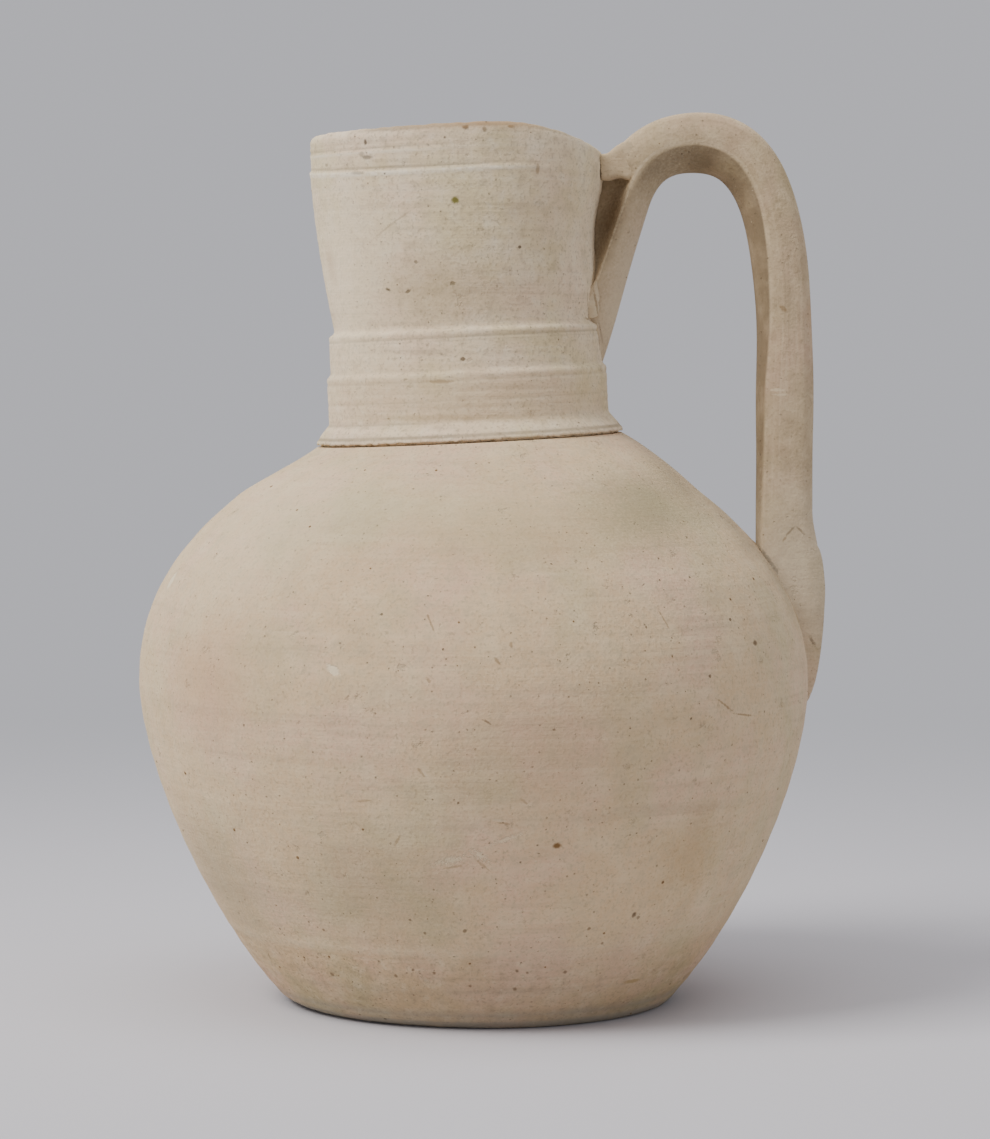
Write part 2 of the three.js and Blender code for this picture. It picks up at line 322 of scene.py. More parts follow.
class NodeRecipe:
    """A Geometry Nodes tree with named inputs, which turns one mesh into another."""

    def __init__(self, name: str, sizes: dict[str, str]) -> None:
        """Make the tree and its inputs.

        Args:
            name: What the tree makes.
            sizes: Kind of each named input.
        """
        self.tree = bpy.data.node_groups.new(name, "GeometryNodeTree")
        face = self.tree.interface
        face.new_socket("Geometry", in_out="INPUT", socket_type="NodeSocketGeometry")
        self.keys = {
            size: face.new_socket(size, in_out="INPUT", socket_type="NodeSocket" + kind).identifier
            for size, kind in sizes.items()}
        face.new_socket("Geometry", in_out="OUTPUT", socket_type="NodeSocketGeometry")
        self.given = self.tree.nodes.new("NodeGroupInput").outputs

    def node(self, kind: str, inputs: dict | None = None, **settings: object) -> bpy.types.Node:
        """Add a node to the tree, as add does."""
        return add(self.tree, kind, inputs, **settings)

    def close(self, geometry: bpy.types.Node, material: bpy.types.NodeSocket) -> bpy.types.Node:
        """Realize what was made and give it its material."""
        real = self.node("GeometryNodeRealizeInstances", {"Geometry": geometry})
        return self.node("GeometryNodeSetMaterial", {"Geometry": real, "Material": material})

    def run(self, piece: bpy.types.Object, values: dict[str, object]) -> None:
        """Turn a piece's mesh into what the tree makes of it, as a plain mesh.

        Args:
            piece: The piece.
            values: A value for each named input.
        """
        modifier = piece.modifiers.new(self.tree.name, "NODES")
        modifier.node_group = self.tree
        for name, value in values.items():
            modifier[self.keys[name]] = value
        graph = bpy.context.evaluated_depsgraph_get()
        made = bpy.data.meshes.new_from_object(
            piece.evaluated_get(graph), preserve_all_data_layers=True, depsgraph=graph)
        before = piece.data
        piece.modifiers.remove(modifier)
        piece.data = made
        made.name = piece.name
        bpy.data.meshes.remove(before)


class WheelRecipe(NodeRecipe):
    """Turns a profile on the wheel and leaves the rings of the fingers in it."""

    WELD = 0.002
    DRIFT_SIZE = 45.0
    PRESS_SIZE = 30.0
    PRESS_SEED = 7.0
    AXIS_REACH = 20.0

    def __init__(self) -> None:
        """Build the tree, which bends a grid round the axis and reads each row from the profile."""
        super().__init__("thrown_on_the_wheel", {
            "Turn Steps": "Int", "Rows": "Int", "Ring Spacing": "Float", "Ring Depth": "Float",
            "Wobble": "Float", "Seed": "Float", "Clay": "Material"})
        given = self.given
        grid = self.node("GeometryNodeMeshGrid", {
            "Size X": 1.0, "Size Y": 1.0, "Vertices X": given["Turn Steps"],
            "Vertices Y": given["Rows"]})
        place = self.node("GeometryNodeInputPosition")
        across = self.node(SPLIT, {0: place}).outputs
        lap = self.node(MATH, {0: across[0], 1: 0.5}, operation="ADD")
        angle = self.node(MATH, {0: lap, 1: LAP}, operation="MULTIPLY")
        up = self.node(MATH, {0: across[1], 1: 0.5}, operation="ADD")
        last = self.node(MATH, {0: given["Rows"], 1: 1.0}, operation="SUBTRACT")
        share = self.node(MATH, {0: up, 1: last}, operation="MULTIPLY")
        row = self.node("FunctionNodeFloatToInt", {0: share}, rounding_mode="ROUND")
        worn_and_shaded = self.node("GeometryNodeInputNamedAttribute", {"Name": WEAR_AND_SHADE}, data_type="FLOAT")
        drawn, edge = (
            self.node("GeometryNodeSampleIndex", {
                "Geometry": given["Geometry"], "Value": value, "Index": row}, data_type=kind)
            for value, kind in ((place, "FLOAT_VECTOR"), (worn_and_shaded, "FLOAT")))
        radius, _, height = self.node(SPLIT, {0: drawn}).outputs
        turned = self._spun(self._ringed(radius, height, angle), height, angle)
        thrown = self.node("GeometryNodeSetPosition", {"Geometry": grid, "Position": turned})
        marked = self.node("GeometryNodeStoreNamedAttribute", {
            "Geometry": thrown, "Name": WEAR_AND_SHADE, "Value": edge}, data_type="FLOAT", domain="POINT")
        closed = self.node("GeometryNodeMergeByDistance", {
            "Geometry": marked, "Distance": self.WELD * MM})
        soft = self.node("GeometryNodeSetShadeSmooth", {"Geometry": closed})
        self.node("NodeGroupOutput", {0: self.close(soft, given["Clay"])})

    def _spun(self, radius: object, height: object, angle: object) -> bpy.types.Node:
        """Find a place on the wheel.

        Args:
            radius: Distance from the axis.
            height: Height over the table.
            angle: Angle round the wheel.

        Returns:
            The place.
        """
        sides = [self.node(MATH, {0: angle}, operation=way) for way in ("COSINE", "SINE")]
        x, y = (self.node(MATH, {0: radius, 1: side}, operation="MULTIPLY") for side in sides)
        return self.node(JOIN, {0: x, 1: y, 2: height})

    def _ringed(self, radius: object, height: object, angle: object) -> bpy.types.Node:
        """Add the spiral of finger rings and the wobble of the wheel to a radius.

        Args:
            radius: Radius of the profile.
            height: Height of the profile.
            angle: Angle round the wheel.

        Returns:
            The new radius.
        """
        at = self._spun(radius, height, angle)
        known = {"radius": radius, "height": height, "angle": angle,
                 **{name: self.given[name] for name in ("Ring Spacing", "Ring Depth", "Wobble")}}
        for name, shift, size, detail in (
                ("drift", 0.0, self.DRIFT_SIZE, 2.0),
                ("press", self.PRESS_SEED, self.PRESS_SIZE, 1.0)):
            seed = self.node(MATH, {0: self.given["Seed"], 1: shift}, operation="ADD")
            known[name] = self.node(NOISE, {
                "Vector": at, "W": seed, "Scale": 1 / (size * MM), "Detail": detail},
                noise_dimensions="4D")
        for name, operation, first, second in (
                ("coils", "DIVIDE", "height", "Ring Spacing"), ("climbed", "DIVIDE", "angle", LAP),
                ("turns", "ADD", "coils", "climbed"), ("drifted", "ADD", "turns", "drift"),
                ("phase", "MULTIPLY", "drifted", LAP), ("wave", "SINE", "phase", 0.0),
                ("pressed", "MULTIPLY", "wave", "press"),
                ("ring", "MULTIPLY", "pressed", "Ring Depth"), ("aside", "SUBTRACT", "drift", 0.5),
                ("sway", "MULTIPLY", "aside", "Wobble"), ("both", "ADD", "ring", "sway"),
                ("off axis", "DIVIDE", "radius", self.AXIS_REACH * MM),
                ("share", "MINIMUM", "off axis", 1.0), ("change", "MULTIPLY", "both", "share"),
                ("ringed", "ADD", "radius", "change")):
            known[name] = self.node(MATH, {
                0: known.get(first, first), 1: known.get(second, second)}, operation=operation)
        return known["ringed"]


class GritRecipe(NodeRecipe):
    """Scatters grains of grit over a piece, sunk into its clay."""

    FEW_LARGE = 2.5
    FLATNESS = 0.35

    def __init__(self) -> None:
        """Build the tree, which strews flattened grains and joins them to the piece."""
        super().__init__("gritted_clay", {
            "Grains per Area": "Float", "Smallest": "Float", "Largest": "Float", "Seed": "Int",
            "Grit": "Material"})
        given = self.given
        strewn = self.node("GeometryNodeDistributePointsOnFaces", {
            "Mesh": given["Geometry"], "Density": given["Grains per Area"], "Seed": given["Seed"]})
        grain = self.node("GeometryNodeMeshIcoSphere", {"Radius": 1.0, "Subdivisions": 1})
        dice = self.node("FunctionNodeRandomValue", {
            "Min": 0.0, "Max": 1.0, "Seed": given["Seed"]}, data_type="FLOAT")
        small = self.node(MATH, {0: dice, 1: self.FEW_LARGE}, operation="POWER")
        spread = self.node(MATH, {0: given["Largest"], 1: given["Smallest"]}, operation="SUBTRACT")
        size = self.node(
            MATH, {0: small, 1: spread, 2: given["Smallest"]}, operation="MULTIPLY_ADD")
        thick = self.node(MATH, {0: size, 1: self.FLATNESS}, operation="MULTIPLY")
        placed = self.node("GeometryNodeInstanceOnPoints", {
            "Points": strewn, "Instance": grain, "Rotation": strewn.outputs["Rotation"],
            "Scale": self.node(JOIN, {0: size, 1: size, 2: thick})})
        both = self.node("GeometryNodeJoinGeometry")
        for part in (given["Geometry"], self.close(placed, given["Grit"]).outputs[0]):
            self.tree.links.new(part, both.inputs[0])
        self.node("NodeGroupOutput", {0: both})


@dataclass(frozen=True)
class Posture:
    """How the pot stands: its axis drifts up to the neck, which leans away from the handle."""

    seat: float = 116.6
    lean: float = 2.8
    span: float = 12.0
    drift: float = 1.4
    rounds: int = 8

    def _at(self, height: np.ndarray) -> tuple[np.ndarray, np.ndarray]:
        """How far the pot tilts and shifts.

        Args:
            height: Heights in the upright pot.

        Returns:
            Tilt in radians and shift along X at each height.
        """
        angle = math.radians(self.lean)
        along = 1 + (height - self.seat) / self.span
        inside = np.clip(along, 0.0, 1.0)
        bent = self.span * (inside ** 3 - inside ** 4 / 2)
        past = np.maximum(0.0, height - self.seat)
        shift = -math.sin(angle) * (bent + past) - self.drift * smooth(height / self.seat)
        return angle * smooth(along), shift

    def stand(self, points: np.ndarray) -> np.ndarray:
        """Move points of the upright pot to where they are in the finished one.

        Args:
            points: Points of the upright pot.

        Returns:
            Points of the finished pot.
        """
        tilt, shift = self._at(points[:, 2])
        x = shift + points[:, 0] * np.cos(tilt)
        return np.stack([x, points[:, 1], points[:, 2] + points[:, 0] * np.sin(tilt)], 1)

    def upright(self, points: np.ndarray) -> np.ndarray:
        """Move points of the finished pot back to where they were in the upright one.

        Args:
            points: Points of the finished pot.

        Returns:
            Points of the upright pot.
        """
        back = points.copy()
        for _ in range(self.rounds):
            tilt, shift = self._at(back[:, 2])
            back[:, 0] = (points[:, 0] - shift) / np.cos(tilt)
            back[:, 2] = points[:, 2] - back[:, 0] * np.sin(tilt)
        return back


@dataclass(frozen=True)
class Score:
    """A line turned into the outer wall: a ridge, a groove or a step up to the rim.

    It lies at a height, all round or up to a spread of degrees from its turn, and where it bows it
    is higher at the pot's sides than in front.
    """

    height: float
    depth: float
    width: float
    wear_and_shade: float = 0.0
    turn: float = 0.0
    spread: float = 1000.0
    step: bool = False
    bow: float = 0.0
    fade: float = 1.6

    def change(self, height: np.ndarray, turn: np.ndarray) -> tuple[np.ndarray, np.ndarray]:
        """How far the line moves the wall, and how much it lightens or darkens it by rubbing, dirt,
        painted highlight and painted shade.

        Args:
            height: Heights in the upright pot.
            turn: Turns of the same places.

        Returns:
            Outward move, and wear and painted light and shade, at each place.
        """
        share = smooth(self.fade * (1 - np.abs(turn - self.turn) / self.spread))
        bowed = self.bow * np.minimum(1.0, (turn / HANDLE_TURN) ** 2)
        off = (height - self.height - bowed) / self.width
        line = np.exp(-off ** 2) * share
        return self.depth * (smooth(off) * share if self.step else line), self.wear_and_shade * line


class Trace(Enum):
    """What left a mark on the clay, and the soft patches that paint light and shade on it."""

    PIT = (0.4, 1.6, 0.5)
    SCRATCH = (0.5, 2.2, 0.0)
    CHIP = (0.3, 0.8, 0.6)
    SCAR = (0.8, 3.0, 0.7)
    SPOT = (0.5, 0.9, 0.0)
    STAIN_AND_PAINTED_LIGHT = (1.0, 1.0, 0.0)

    def __init__(self, blur: float, fray: float, depth: float) -> None:
        """Keep how such a mark looks: how blurred and frayed its edge is, and how deep it lies."""
        self.blur, self.fray, self.depth = blur, fray, depth


@dataclass(frozen=True)
class Mark:
    """One mark on the outer wall, whose tilt goes downwards."""

    trace: Trace
    height: float
    turn: float
    long: float
    wide: float
    color: str
    strength: float = 0.8
    tilt: float = 0.0


Placed = list[tuple[Mark, np.ndarray]]


class Wall:
    """The outer wall of a thrown piece, which marks lie on and other clay is pressed against."""

    SPACING = 0.4
    BATCH = 4000

    def __init__(self, line: np.ndarray, posture: Posture, press: Score | None = None) -> None:
        """Keep the wall's line.

        Args:
            line: Radius and height of the wall, from its foot up.
            posture: How the pot stands.
            press: Where a hand pressed the wall in, or None.
        """
        self.line = even(line, self.SPACING)
        self.normals = normals(self.line)
        self.posture, self.press = posture, press

    def dent(self, height: np.ndarray, turn: np.ndarray) -> np.ndarray:
        """How far the press moves the wall outwards at heights and turns of the upright pot."""
        return self.press.change(height, turn)[0] if self.press else 0.0 * height

    def point(self, height: float, turn: float = HANDLE_TURN,
              side: float | None = None) -> np.ndarray:
        """Find a point of the finished wall.

        Args:
            height: Height in the upright pot.
            turn: Turn of the point.
            side: Where given, the point's own Y on the handle's side, in place of a turn.

        Returns:
            The point.
        """
        radius = float(np.interp(height, self.line[:, 1], self.line[:, 0])
                       + self.dent(np.array(height), np.array(turn)))
        angle = math.radians(turn)
        flat = [radius * math.sin(angle), -radius * math.cos(angle), height]
        if side is not None:
            flat = [math.sqrt(radius ** 2 - side ** 2), side, height]
        return self.posture.stand(np.array([flat]))[0]

    def placed(self, marks: tuple[Mark, ...]) -> Placed:
        """Find where marks lie on the wall."""
        return [(mark, self.point(mark.height, mark.turn)) for mark in marks]

    def clear(self, points: np.ndarray, height: float) -> np.ndarray:
        """Press points that lie too deep out of the wall.

        Args:
            points: Points of a piece of clay.
            height: Least height over the wall that a point is left with.

        Returns:
            The points, each at that height or higher.
        """
        flat = self.posture.upright(points)
        radius = np.hypot(flat[:, 0], flat[:, 1])
        dent = self.dent(flat[:, 2], turn_of(flat))
        place = np.stack([radius - dent, flat[:, 2]], 1)
        nearest = np.concatenate([
            np.argmin(((part[:, None] - self.line[None]) ** 2).sum(2), 1)
            for part in np.array_split(place, max(1, len(place) // self.BATCH))])
        normal = self.normals[nearest]
        over = ((place - self.line[nearest]) * normal).sum(1)
        place = place + normal * np.maximum(0.0, height - over)[:, None]
        grown = np.where(radius > TINY, (place[:, 0] + dent) / np.maximum(radius, TINY), 1.0)
        return self.posture.stand(
            np.stack([flat[:, 0] * grown, flat[:, 1] * grown, place[:, 1]], 1))


class Pattern(Enum):
    """What the fire, the hand and the years left all over the clay, and the painted light and shade
    that go with the wear.
    """

    STREAKS = auto()
    CLOUDS = auto()
    OTHER_CLOUDS = auto()
    PATCHES = auto()
    MOTTLE = auto()
    GRAIN = auto()
    WEAR_AND_SHADE = auto()


@dataclass(frozen=True)
class Clay:
    """Buff earthenware fired without a glaze, named for how the hand worked it.

    Low-fired and unglazed, it is matt and a little gritty, with pink and olive clouds from the
    fire, pale rubbed edges, dirt in its hollows and fine dark pits. The grain is drawn coarser than
    the real one, so that it shows in the render.
    """

    name: str
    base: str = "d4b58b"
    pink: str = "d9b495"
    olive: str = "c5b186"
    pale: str = "e8d5b2"
    dirt: str = "928064"
    dust_and_shade: str = "928064"
    soil_and_shade: float = 0.6
    pit: str = "5a452c"
    cloud: float = 19.0
    patch: float = 6.0
    scar: float = 4.5
    mottle: float = 2.0
    grain: float = 0.6
    fray: float = 0.55
    streak: float = 1.8
    streak_reach: float = 70.0
    streak_share: float = 0.3
    speck: float = 1.0
    pit_spacing: float = 3.0
    speck_spacing: float = 3.0 / 2.2
    crumb_spacing: float = 3.0 / 1.8
    dot_edge: float = 0.06
    dot_shake: float = 0.08
    relief: float = 0.3
    roughness: float = 0.92
    pulled: bool = False

    def material(self, marks: Placed | None = None) -> bpy.types.Material:
        """Make the material.

        Args:
            marks: The marks on the piece, each with its place.

        Returns:
            The material.
        """
        made, tree, place = fresh(self.name)
        color, found = self._clouded(tree, place)
        color, relief = self._pitted(tree, place, color, found)
        color, relief = self._marked(tree, place, color, relief, marks or [])
        bump = add(tree, "ShaderNodeBump", {
            "Strength": 1.0, "Distance": self.relief * MM, "Height": relief})
        shader = add(tree, SHADER, {
            "Base Color": color, "Roughness": self.roughness, "IOR": 1.5,
            "Specular IOR Level": 0.25, "Diffuse Roughness": 0.6, "Normal": bump})
        add(tree, OUTPUT, {"Surface": shader})
        return made

    def _clouded(self, tree: bpy.types.NodeTree,
                 place: bpy.types.NodeSocket) -> tuple[bpy.types.Node, dict[Pattern, object]]:
        """Colour the clay by the clouds of the fire, the streaks of the hand, rubbing and dirt, and
        painted light and shade.

        Args:
            tree: The material's tree.
            place: Object coordinates.

        Returns:
            The colour, and the patterns that made it.
        """
        drawn_out = self.streak_reach / self.streak
        lay, stretch = place, (1.0, 1.0, drawn_out)
        if self.pulled:
            lay, stretch = add(tree, "ShaderNodeUVMap", uv_map=PULL), (1.0, drawn_out, 1.0)
        drawn = add(tree, VECTOR, {0: lay, 1: stretch}, operation="MULTIPLY")
        aside = add(tree, VECTOR, {0: place, 1: (0.3, 0.7, 0.2)}, operation="ADD")
        found = {
            pattern: add(tree, NOISE, {
                "Vector": at, "Scale": 1 / (size * MM), "Detail": detail, "Roughness": rough})
            for pattern, at, size, detail, rough in (
                (Pattern.STREAKS, drawn, self.streak_reach, 3.0, 0.65),
                (Pattern.CLOUDS, place, self.cloud, 3.0, 0.55),
                (Pattern.OTHER_CLOUDS, aside, self.cloud, 3.0, 0.55),
                (Pattern.PATCHES, place, self.patch, 3.0, 0.55),
                (Pattern.MOTTLE, place, self.mottle, 3.0, 0.55),
                (Pattern.GRAIN, place, self.grain, 1.0, 0.55))}
        found[Pattern.WEAR_AND_SHADE] = add(tree, "ShaderNodeAttribute", attribute_name=WEAR_AND_SHADE).outputs["Fac"]
        in_clouds = (Pattern.CLOUDS, 0.4, 0.62, 0.35)
        in_mottle = (Pattern.MOTTLE, 0.38, 0.55, 0.35)
        in_patches = (Pattern.PATCHES, 0.2, 0.6, 0.5)
        color = linear(self.base)
        for pattern, start, full, most, tint, gate in (
                (Pattern.CLOUDS, 0.42, 0.66, 1.0, self.pink, None),
                (Pattern.OTHER_CLOUDS, 0.46, 0.7, 1.0, self.olive, None),
                (Pattern.PATCHES, 0.45, 0.75, 0.36, self.pale, None),
                (Pattern.PATCHES, 0.48, 0.25, 0.2, self.dirt, None),
                (Pattern.STREAKS, 0.5, 0.72, self.streak_share, self.dirt, in_clouds),
                (Pattern.STREAKS, 0.48, 0.3, self.streak_share, self.pale, in_clouds),
                (Pattern.MOTTLE, 0.5, 0.75, 0.32 * self.speck, self.dirt, None),
                (Pattern.MOTTLE, 0.48, 0.28, 0.38 * self.speck, self.pale, None),
                (Pattern.GRAIN, 0.5, 0.78, 0.5 * self.speck, self.dirt, None),
                # Wear mixes the pale tint in where rubbed and as painted highlight, and the dust
                # tint where dirty and as painted shade, as on the strap's inner faces and at the
                # step under the rim.
                (Pattern.WEAR_AND_SHADE, 0.05, 0.6, 0.9, self.pale, in_mottle),
                (Pattern.WEAR_AND_SHADE, -0.05, -0.7, self.soil_and_shade, self.dust_and_shade, in_patches)):
            share = add(tree, RANGE, {
                "Value": found[pattern], "From Min": start, "From Max": full, "To Max": most},
                interpolation_type=EASED)
            if gate:
                within, low, high, least = gate
                here = add(tree, RANGE, {
                    "Value": found[within], "From Min": low, "From Max": high, "To Min": least},
                    interpolation_type=EASED)
                share = add(tree, MATH, {0: share, 1: here}, operation="MULTIPLY")
            color = add(tree, MIX, {0: share, 6: color, 7: linear(tint)}, data_type="RGBA")
        return color, found

    def _pitted(self, tree: bpy.types.NodeTree, place: bpy.types.NodeSocket, color: bpy.types.Node,
                found: dict[Pattern, object]) -> tuple[bpy.types.Node, bpy.types.Node]:
        """Add the scars, pits, dark specks and pale crumbs, and work out the relief.

        Args:
            tree: The material's tree.
            place: Object coordinates.
            color: Colour of the clay.
            found: The patterns in it.

        Returns:
            The colour and the height of the surface.
        """
        shake = add(tree, NOISE, {"Vector": place, "Scale": 1 / (self.grain * MM)})
        shaken = add(tree, VECTOR, {
            0: shake.outputs["Color"], 1: (self.grain / 2 * MM,) * 3, 2: place},
            operation="MULTIPLY_ADD")
        apart = add(tree, VECTOR, {0: place, 1: (0.5, 0.1, 0.9)}, operation="ADD")
        torn = add(tree, NOISE, {
            "Vector": apart, "Scale": 1 / (self.scar * MM), "Detail": 4.0, "Roughness": 0.7})
        scars = add(tree, RANGE, {
            "Value": torn, "From Min": 0.64, "From Max": 0.72}, interpolation_type=EASED)
        dots = []
        for spacing, least, largest in (
                (self.pit_spacing, 0.5, 0.07), (self.speck_spacing, 0.3, 0.13),
                (self.crumb_spacing, 0.5, 0.1)):
            cells = add(tree, "ShaderNodeTexVoronoi", {
                "Vector": shaken, "Scale": 1 / (spacing * MM)})
            dice = add(tree, "ShaderNodeSeparateColor", {0: cells.outputs["Color"]})
            size = add(tree, RANGE, {
                "Value": dice, "From Min": least, "To Min": -self.dot_edge, "To Max": largest},
                interpolation_type=EASED)
            size = add(tree, MATH, {0: found[Pattern.MOTTLE], 1: self.dot_shake, 2: size},
                       operation="MULTIPLY_ADD")
            over = add(tree, MATH, {0: size, 1: cells.outputs["Distance"]}, operation="SUBTRACT")
            dots.append(add(tree, RANGE, {"Value": over, "From Max": self.dot_edge},
                            interpolation_type=EASED))
        pits, specks, crumbs = dots
        for dot, strength, tint in ((scars, 0.3, self.dirt), (crumbs, 0.5, self.pale),
                                    (specks, 0.45, self.pit), (pits, 0.7, self.pit)):
            share = add(tree, MATH, {0: dot, 1: strength * self.speck}, operation="MULTIPLY")
            color = add(tree, MIX, {0: share, 6: color, 7: linear(tint)}, data_type="RGBA")
        deepest = add(tree, MATH, {0: pits, 1: specks}, operation="MAXIMUM")
        relief = 0.0
        for pattern, height in (
                (found[Pattern.MOTTLE], 0.5), (found[Pattern.GRAIN], 0.3),
                (found[Pattern.STREAKS], 0.5), (scars, -0.5 * self.speck), (deepest, -0.6)):
            relief = add(tree, MATH, {0: pattern, 1: height, 2: relief}, operation="MULTIPLY_ADD")
        return color, relief

    def _marked(self, tree: bpy.types.NodeTree, place: bpy.types.NodeSocket, color: bpy.types.Node,
                relief: bpy.types.Node, marks: Placed) -> tuple[bpy.types.Node, bpy.types.Node]:
        """Lay the marks over the fired clay.

        Args:
            tree: The material's tree.
            place: Object coordinates.
            color: Colour under the marks.
            relief: Height of the surface under the marks.
            marks: The marks, each with its place.

        Returns:
            The colour and the height with the marks in them.
        """
        if not marks:
            return color, relief
        ragged = add(tree, NOISE, {"Vector": place, "Scale": 1 / (self.fray * MM), "Detail": 3.0})
        for mark, where in marks:
            trace = mark.trace
            near = add(tree, "ShaderNodeMapping", {
                "Vector": place, "Location": tuple(where * MM),
                "Rotation": (0.0, math.radians(mark.tilt), math.radians(mark.turn)),
                "Scale": (mark.long / 2 * MM, max(mark.long, mark.wide) * MM, mark.wide / 2 * MM)},
                vector_type="TEXTURE")
            far = add(tree, VECTOR, {0: near}, operation="LENGTH")
            far = add(tree, MATH, {0: ragged, 1: trace.fray, 2: far}, operation="MULTIPLY_ADD")
            edge = 1.0 + trace.fray / 2
            inside = add(tree, RANGE, {
                "Value": far, "From Min": edge + trace.blur / 2, "From Max": edge - trace.blur},
                interpolation_type=EASED)
            share = add(tree, MATH, {0: inside, 1: mark.strength}, operation="MULTIPLY")
            color = add(tree, MIX, {0: share, 6: color, 7: linear(mark.color)}, data_type="RGBA")
            if trace.depth:
                relief = add(tree, MATH, {0: inside, 1: -trace.depth, 2: relief},
                             operation="MULTIPLY_ADD")
        return color, relief


@dataclass(frozen=True)
class Grit:
    """Grains of dark iron-stained sand in the clay, which show as freckles."""

    name: str = "iron_stained_grit"
    dark: str = "6b563a"
    rust: str = "8f6f45"
    size: float = 9.0
    roughness: float = 0.85

    def material(self) -> bpy.types.Material:
        """Make the material, whose grains differ from place to place.

        Returns:
            The material.
        """
        made, tree, place = fresh(self.name)
        tone = add(tree, NOISE, {"Vector": place, "Scale": 1 / (self.size * MM), "Detail": 2.0})
        color = add(
            tree, MIX, {0: tone, 6: linear(self.dark), 7: linear(self.rust)}, data_type="RGBA")
        shader = add(tree, SHADER, {"Base Color": color, "Roughness": self.roughness})
        add(tree, OUTPUT, {"Surface": shader})
        return made


@dataclass(frozen=True)
class MattPaper:
    """Pale matt paper with a fine fibre, which fades outwards into the grey of the room."""

    name: str = "matt_paper"
    color: str = "cdcacd"
    fibre: float = 0.8
    relief: float = 0.1
    roughness: float = 0.9
    fade_from_m: float = 0.0
    fade_to_m: float = 0.65

    def material(self, room: str) -> bpy.types.Material:
        """Make the material.

        Args:
            room: Colour of the room.

        Returns:
            The material.
        """
        made, tree, place = fresh(self.name)
        fibre = add(tree, NOISE, {"Vector": place, "Scale": 1 / (self.fibre * MM), "Detail": 3.0})
        bump = add(tree, "ShaderNodeBump", {
            "Strength": 0.2, "Distance": self.relief * MM, "Height": fibre})
        near = add(tree, SHADER, {
            "Base Color": linear(self.color), "Roughness": self.roughness,
            "Specular IOR Level": 0.2, "Normal": bump})
        far = add(tree, "ShaderNodeEmission", {"Color": linear(room)})
        away = add(tree, VECTOR, {0: place}, operation="LENGTH")
        share = add(tree, RANGE, {
            "Value": away, "From Min": self.fade_from_m, "From Max": self.fade_to_m},
            interpolation_type=EASED)
        add(tree, OUTPUT, {
            "Surface": add(tree, "ShaderNodeMixShader", {0: share, 1: near, 2: far})})
        return made


@dataclass(frozen=True)
class Turning:
    """How a piece is turned: its facets, its finger rings and the sway of its wall."""

    steps: int
    ring_spacing: float
    ring_depth: float
    wobble: float
    seed: int


@dataclass(frozen=True)
class Strewing:
    """How much grit lies in a piece, and the radius of its grains."""

    per_cm2: float
    smallest: float
    largest: float
    seed: int


@dataclass(frozen=True)
class Workshop:
    """What every piece is made with: the wheel, the grit and the pot's posture."""

    wheel: WheelRecipe
    gritted: GritRecipe
    grit: bpy.types.Material
    posture: Posture
    rub_reach: float = 2.4
    rub_depth: float = 0.22
    score_from: float = 4.0
    score_blend: float = 3.0

    def throw(self, name: str, profile: np.ndarray, clay: bpy.types.Material,
              turning: Turning) -> bpy.types.Object:
        """Throw a closed profile on the wheel.

        Args:
            name: Name of the piece.
            profile: Radius and height of its outline, counter-clockwise.
            clay: Its material.
            turning: How it is turned.

        Returns:
            The upright piece.
        """
        calm = softened(profile, self.rub_reach)
        match = np.argmin(((profile[:, None] - calm[None]) ** 2).sum(2), 1)
        proud = ((profile - calm[match]) * normals(profile)).sum(1)
        flat = np.stack([profile[:, 0], np.zeros(len(profile)), profile[:, 1]], 1)
        piece = mesh_object(name, flat, [], [(i, i + 1) for i in range(len(flat) - 1)])
        rub(piece, np.clip(proud / self.rub_depth, -1.0, 1.0))
        self.wheel.run(piece, {
            "Turn Steps": turning.steps + 1, "Rows": len(flat),
            "Ring Spacing": turning.ring_spacing * MM, "Ring Depth": turning.ring_depth * MM,
            "Wobble": turning.wobble * MM, "Seed": float(turning.seed), "Clay": clay})
        return piece

    def scored(self, piece: bpy.types.Object, line: np.ndarray,
               scores: tuple[Score, ...]) -> np.ndarray:
        """Turn lines into the outer wall of an upright piece.

        Args:
            piece: The piece, whose wear and painted light and shade change along the lines.
            line: Radius and height of its outer wall.
            scores: The lines.

        Returns:
            The piece's points with the lines in them.
        """
        points = points_of(piece)
        radius = np.maximum(np.hypot(points[:, 0], points[:, 1]), TINY)
        inward = np.interp(points[:, 2], line[:, 1], line[:, 0])
        outer = smooth((radius - inward + self.score_from) / self.score_blend)
        changes = [score.change(points[:, 2], turn_of(points)) for score in scores]
        out = 1 + outer * sum(change for change, _ in changes) / radius
        wear_and_shade = np.empty(len(points), np.float32)
        piece.data.attributes[WEAR_AND_SHADE].data.foreach_get("value", wear_and_shade)
        wear_and_shade += outer * sum(change for _, change in changes)
        rub(piece, np.clip(wear_and_shade, -1.0, 1.0))
        return np.stack([points[:, 0] * out, points[:, 1] * out, points[:, 2]], 1)

    def strew(self, piece: bpy.types.Object, strewing: Strewing) -> None:
        """Strew grit over a finished piece.

        Args:
            piece: The piece.
            strewing: How much grit, and how large.
        """
        self.gritted.run(piece, {
            "Grains per Area": strewing.per_cm2 * 1e4, "Smallest": strewing.smallest * MM,
            "Largest": strewing.largest * MM, "Seed": strewing.seed, "Grit": self.grit})


def hand_over(piece: bpy.types.Object, node: str) -> bpy.types.Object:
    """Let a finished piece stand for its CAD node.

    Args:
        piece: The piece.
        node: The CAD node.

    Returns:
        The piece.
    """
    low, high = np.array(CAD_BOX) / MM
    move_points(piece, np.clip(points_of(piece), low, high))
    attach(piece, BODY)
    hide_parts(node)
    LOG.info("%s stands for %s: %d faces", piece.name, node, len(piece.data.polygons))
    return piece


